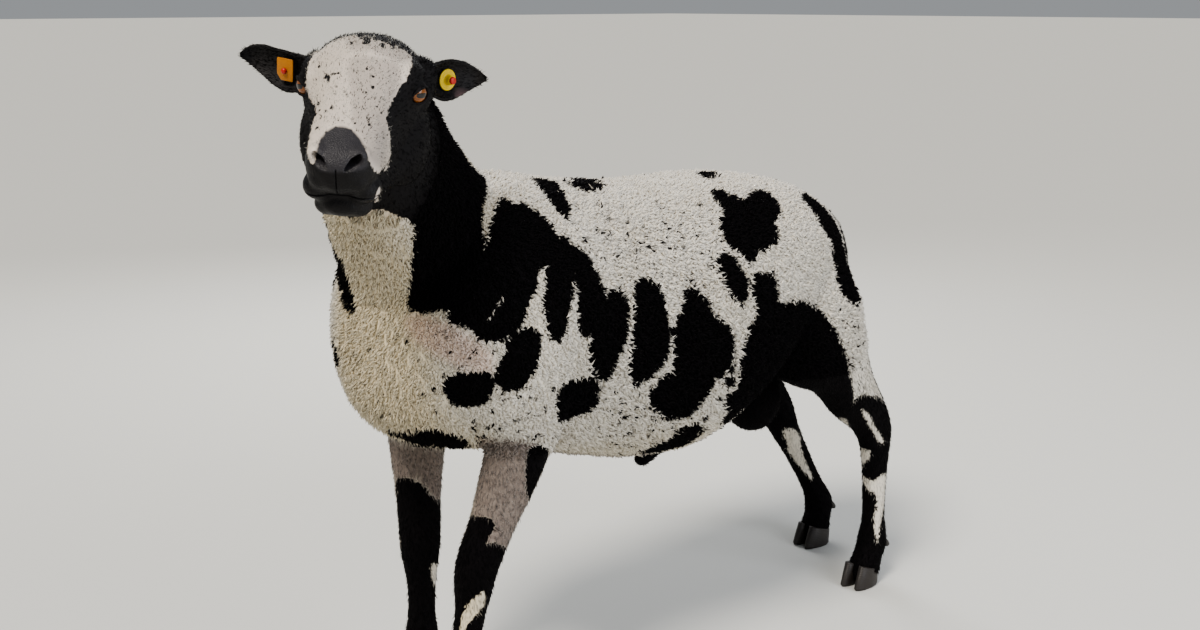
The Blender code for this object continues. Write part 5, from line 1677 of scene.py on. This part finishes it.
def horn_material():
    """Hoof horn: dull keratin with rings of growth about 3 mm apart."""
    material, shader, node = new_material("hoof_keratin", Roughness=0.5, IOR=1.54)
    place = node("TexCoord", out="Object")
    rings = {"Vector": place, "Scale": 100.0, "Distortion": 2.5, "Detail": 2.0, "Detail Scale": 1.5}
    rings = node("TexWave", rings, "Fac", bands_direction="Z")
    stain = node("TexNoise", {"Vector": place, "Scale": 60.0, "Detail": 3.0, "Roughness": 0.55}, "Fac")
    colour = node("Mix", {0: rings, 6: srgb("131010"), 7: srgb("221D1B")}, **MIX)
    colour = node("Mix", {0: stain, 6: colour, 7: srgb("2C2621")}, **MIX)
    height = node("Bump", {"Height": rings, "Strength": 0.35, "Distance": 0.0006})
    fill(shader, {"Base Color": colour, "Normal": height})
    return material


def tag_material(name, low, high):
    """Moulded polyurethane: smooth, slightly shiny, a little scuffed."""
    material, shader, node = new_material(name, IOR=1.5)
    place = node("TexCoord", out="Object")
    scuff = node("TexNoise", {"Vector": place, "Scale": 260.0, "Detail": 4.0, "Roughness": 0.55}, "Fac")
    colour = node("Mix", {0: scuff, 6: srgb(low), 7: srgb(high)}, **MIX)
    rough = node("MapRange", {0: scuff, 3: 0.3, 4: 0.5})
    fill(shader, {"Base Color": colour, "Roughness": rough})
    return material


# Pieces that stay apart from the skin

def add_eyes(gloss):
    """Eyeballs that carry the place on the ball from which their material draws the iris."""
    for side, label in ((1, "left"), (-1, "right")):
        eye = ball(f"eyeball_{label}", Matrix.Identity(4), 56, 36)
        points = read_array(eye.data.vertices, "co", 3)
        # The pupil stays level however the head is held
        turn = eye_matrix(side).to_3x3()
        level = turn.inverted() @ Vector((0, 0, 1)).cross(turn @ Vector((0, 0, 1)))
        lean = math.atan2(level.y, level.x)
        gaze = points.copy()
        gaze[:, 0] = points[:, 0] * math.cos(lean) + points[:, 1] * math.sin(lean)
        gaze[:, 1] = points[:, 1] * math.cos(lean) - points[:, 0] * math.sin(lean)
        attribute = eye.data.attributes.new("gaze", "FLOAT_VECTOR", "POINT")
        attribute.data.foreach_set("vector", gaze.astype(np.float32).ravel())
        # The cornea stands slightly proud of the ball
        bulge = 1 + 0.05 * ramp(points[:, 2], 0.70, 0.95)
        eye.data.vertices.foreach_set("co", (points * bulge[:, None]).ravel())
        place = eye_matrix(side) @ Matrix.Scale(EYE_RADIUS, 4)
        eye.data.transform(Matrix.Translation(SHIFT) @ place)
        eye.data.flip_normals()
        paint(eye, gloss)
        eye.data.shade_smooth()
        settle(eye, f"eye_{label}")


def settle(obj, node):
    """Hides the node that a piece stands for and hangs the piece on the root body."""
    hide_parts(node)
    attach(obj, "root")


def add_ears(hide, hair):
    for label, ear in (("left", EAR_LEFT), ("right", EAR_RIGHT)):
        leaf, inner = ear_form(f"ear_leaf_{label}", ear)
        inner = np.clip(inner, 0.0, 1.0) * (1.0 if label == "left" else 0.25)
        store(leaf, "inner", inner)
        paint(leaf, hide)
        unwrap(leaf)
        tufts = ear_hair(leaf, inner, ear, hair, label)
        leaf.data.transform(Matrix.Translation(SHIFT))
        leaf.data.shade_smooth()
        settle(leaf, f"ear_{label}")
        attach(tufts, "root")


def ear_hair(leaf, inner, ear, hair, label):
    """Short flat hair over an ear, towards its tip, but for the bare part of the cup."""
    place, normal, loops, shares = mesh_samples(leaf, 16000, SEED + 70)
    corners = read_array(leaf.data.loops, "vertex_index", 1, np.int64)[:, 0]
    bare = (inner[corners[loops]] * shares).sum(axis=1)
    keep = spread(place, 0.0018)
    keep = keep[bare[keep] < 0.45]
    place, normal = place[keep], normal[keep]
    numbers = np.random.default_rng(SEED + 71)
    tufts = {
        "root": place - normal * 0.0004,
        "normal": normal,
        "way": along_skin(np.array(head_way(ear[1])), normal),
        "uv": unwrapped(leaf, loops[keep], shares[keep]),
        "length": 0.0052 * numbers.uniform(0.7, 1.2, len(keep)),
        "radius": 0.00055 * numbers.uniform(0.8, 1.2, len(keep)),
        "curl": np.full(len(keep), 0.2),
    }
    marks = {key: np.zeros(len(keep)) for key in ("grey", "warm", "pink", "roan")}
    marks["dark"] = np.full(len(keep), 6.0)
    marks["shade"] = numbers.random(len(keep))
    return tuft_mesh(f"ear_hair_{label}", tufts, marks, (3, 1, 14.0), hair, SEED + 72)


def unwrap(obj):
    """Unwraps a piece by its own shape into the map that the coat shares."""
    bpy.ops.object.select_all(action="DESELECT")
    obj.select_set(True)
    bpy.context.view_layer.objects.active = obj
    if "OFBake" not in obj.data.uv_layers:
        obj.data.uv_layers.new(name="OFBake")
    bpy.ops.object.mode_set(mode="EDIT")
    bpy.ops.mesh.select_all(action="SELECT")
    bpy.ops.uv.smart_project(angle_limit=math.radians(66), island_margin=0.002)
    bpy.ops.object.mode_set(mode="OBJECT")
    obj.select_set(False)


def add_feet(horn):
    """Two claws and two dewclaws on each foot, the claws cut level with the coronet."""
    slope = math.radians(CORONET_SLOPE)
    for foot, ((x, y), heading) in FEET.items():
        turn = Matrix.Rotation(math.radians(heading), 3, "Z")
        way = turn @ Vector((0, math.sin(slope), -math.cos(slope)))
        for side, label in ((1, "outer"), (-1, "inner")):
            if "right" in foot:
                side = -side
            claw = claw_form(f"claw_{foot}_{label}", foot, side)
            cut(claw, slab("cutter", Vector((x, y, CORONET)) - way * 0.0005, -way, 0.3, 0.2))
            apply_modifier(claw, "BEVEL", width=0.0008, segments=2, limit_method="ANGLE")
            dress(claw, horn, f"hoof_{foot}_{label}")
            dewclaw = dewclaw_form(f"dew_{foot}_{label}", foot, side)
            dress(dewclaw, horn, f"dewclaw_{foot}_{label}")


def dress(obj, material, node):
    """Finishes a piece with hard edges and moves it into the frame."""
    paint(obj, material)
    obj.data.transform(Matrix.Translation(SHIFT))
    obj.data.shade_smooth()
    obj.data.set_sharp_from_angle(angle=math.radians(45))
    settle(obj, node)


def tags_on_ear(label, ear, yellow, red):
    """A flag tag in the right ear and a button tag in the left one."""
    depth = TAG_DEPTH[label]
    tag_frame = ear_frame(ear, 0.46, depth)
    back = depth - EAR_BACK
    if label == "right":
        panel = flag_panel("flag_tag", tag_frame)
        front = ((0.0034, 0.0022), (0.0036, 0.0030), (0.0036, 0.0044), (0.0030, 0.0054), (0.0016, 0.0060))
        node = "tag_right_panel"
    else:
        rim = ((0.0122, 0.0), (0.0130, 0.0006), (0.0130, 0.0018), (0.0122, 0.0024))
        neck = ((0.0100, 0.0024), (0.0094, 0.0018), (0.0070, 0.0020), (0.0058, 0.0032), (0.0054, 0.0090))
        panel = turned("button_tag", tag_frame, rim + neck, 48)
        front = ((0.0046, 0.0094), (0.0046, 0.0108), (0.0040, 0.0122), (0.0022, 0.0128))
        node = "tag_left_button"
    stem = ((0.0015, back - 0.0014), (0.0060, back - 0.0014), (0.0060, back), (0.0016, back + 0.0002))
    profile = stem + ((0.0016, front[0][1] - 0.0002),) + front
    stud = turned(f"{label}_stud", tag_frame, profile, 32)
    apply_modifier(panel, "BEVEL", width=0.0005, segments=2, limit_method="ANGLE")
    dress(panel, yellow, node)
    dress(stud, red, f"tag_{label}_stud")


# Scene

def add_floor():
    """Plain pale floor."""
    floor = slab("floor", (0.0, 0.0, -0.0005), (0.0, 0.0, -1.0), 160.0, 0.02)
    paint(floor, new_material("painted_floor", Roughness=0.85, Base_Color=srgb("CFCFCB"))[0])


LIGHTS = (
    ("key_light", "SUN", (0.7, -2.2, 3.0), (0.0, 0.0, 0.0), 3.1, "FFF8EE", math.radians(18)),
    ("fill_light", "AREA", (3.0, 0.6, 1.7), (0.0, 0.1, 0.5), 60.0, "F4F7FF", 2.6),
    ("back_light", "AREA", (-2.4, 1.4, 2.2), (0.0, 0.0, 0.6), 45.0, "FFFFFF", 1.8),
)


def add_studio():
    """High broad key from the front of the animal, a soft fill from its left and a pale room."""
    for name, kind, place, aim, power, colour, size in LIGHTS:
        light = bpy.data.lights.new(name, kind)
        light.energy = power
        light.color = srgb(colour)[:3]
        if kind == "SUN":
            light.angle = size
        else:
            light.shape = "DISK"
            light.size = size
        lamp = bpy.data.objects.new(name, light)
        lamp.location = place
        lamp.rotation_euler = (Vector(aim) - Vector(place)).to_track_quat("-Z", "Y").to_euler()
        bpy.context.scene.collection.objects.link(lamp)
    world = bpy.data.worlds.new("pale_room")
    world.use_nodes = True
    fill(world.node_tree.nodes["Background"], {"Color": srgb("E4E8EC"), "Strength": 0.36})
    bpy.context.scene.world = world
    bpy.context.scene.view_settings.view_transform = "AgX"
    bpy.context.scene.view_settings.look = "AgX - Medium High Contrast"


def add_camera():
    """Camera that took the picture."""
    camera = bpy.data.cameras.new("camera")
    camera.sensor_width = SENSOR_WIDTH
    camera.lens = FOCUS / PICTURE_WIDTH * SENSOR_WIDTH
    camera.clip_start = 0.05
    holder = bpy.data.objects.new("camera", camera)
    holder.location = CAMERA_PLACE + SHIFT
    holder.rotation_euler = (math.pi / 2 - CAMERA_FALL, 0.0, CAMERA_TURN)
    bpy.context.scene.collection.objects.link(holder)
    bpy.context.scene.camera = holder


FLESH_NODES = (
    "torso", "neck", "head", "tail", "scrotum", "sheath",
    "leg_left_fore", "leg_right_fore", "leg_left_hind", "leg_right_hind",
)


def build_scene():
    """Skin and coat first, then the pieces that stay apart from them."""
    wool = fibre_material("wool_locks", 3.0, 0.86, 1.06, 0.9)
    hair = fibre_material("short_hair", 2.5, 0.68, 1.10, 0.62)
    skin = skin_form()
    unwrap(skin)
    fleece = add_fleece(skin, wool, 6)
    short_hair = add_hair(skin, hair, 2)
    dress_skin(skin, skin_material())
    skin.data.transform(Matrix.Translation(SHIFT))
    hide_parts(*FLESH_NODES)
    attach(skin, "root")
    for slot, pieces in (("fleece", fleece), ("face_hair", short_hair)):
        for piece in pieces:
            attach(piece, "root")
    add_eyes(eye_material())
    add_ears(ear_material(), hair)
    add_feet(horn_material())
    # The flag tag's orange is partly its own colour and partly painted shade, which makes it darker than the
    # button tag
    flag_yellow_in_painted_shade = tag_material("flag_polyurethane_painted_shade", "A8660E", "BA7A1A")
    button_yellow = tag_material("button_polyurethane", "CDAF14", "DCC128")
    red = tag_material("stud_polyurethane", "A81C0C", "C83420")
    tags_on_ear("left", EAR_LEFT, button_yellow, red)
    tags_on_ear("right", EAR_RIGHT, flag_yellow_in_painted_shade, red)
    add_floor()
    add_studio()
    add_camera()


build_scene()
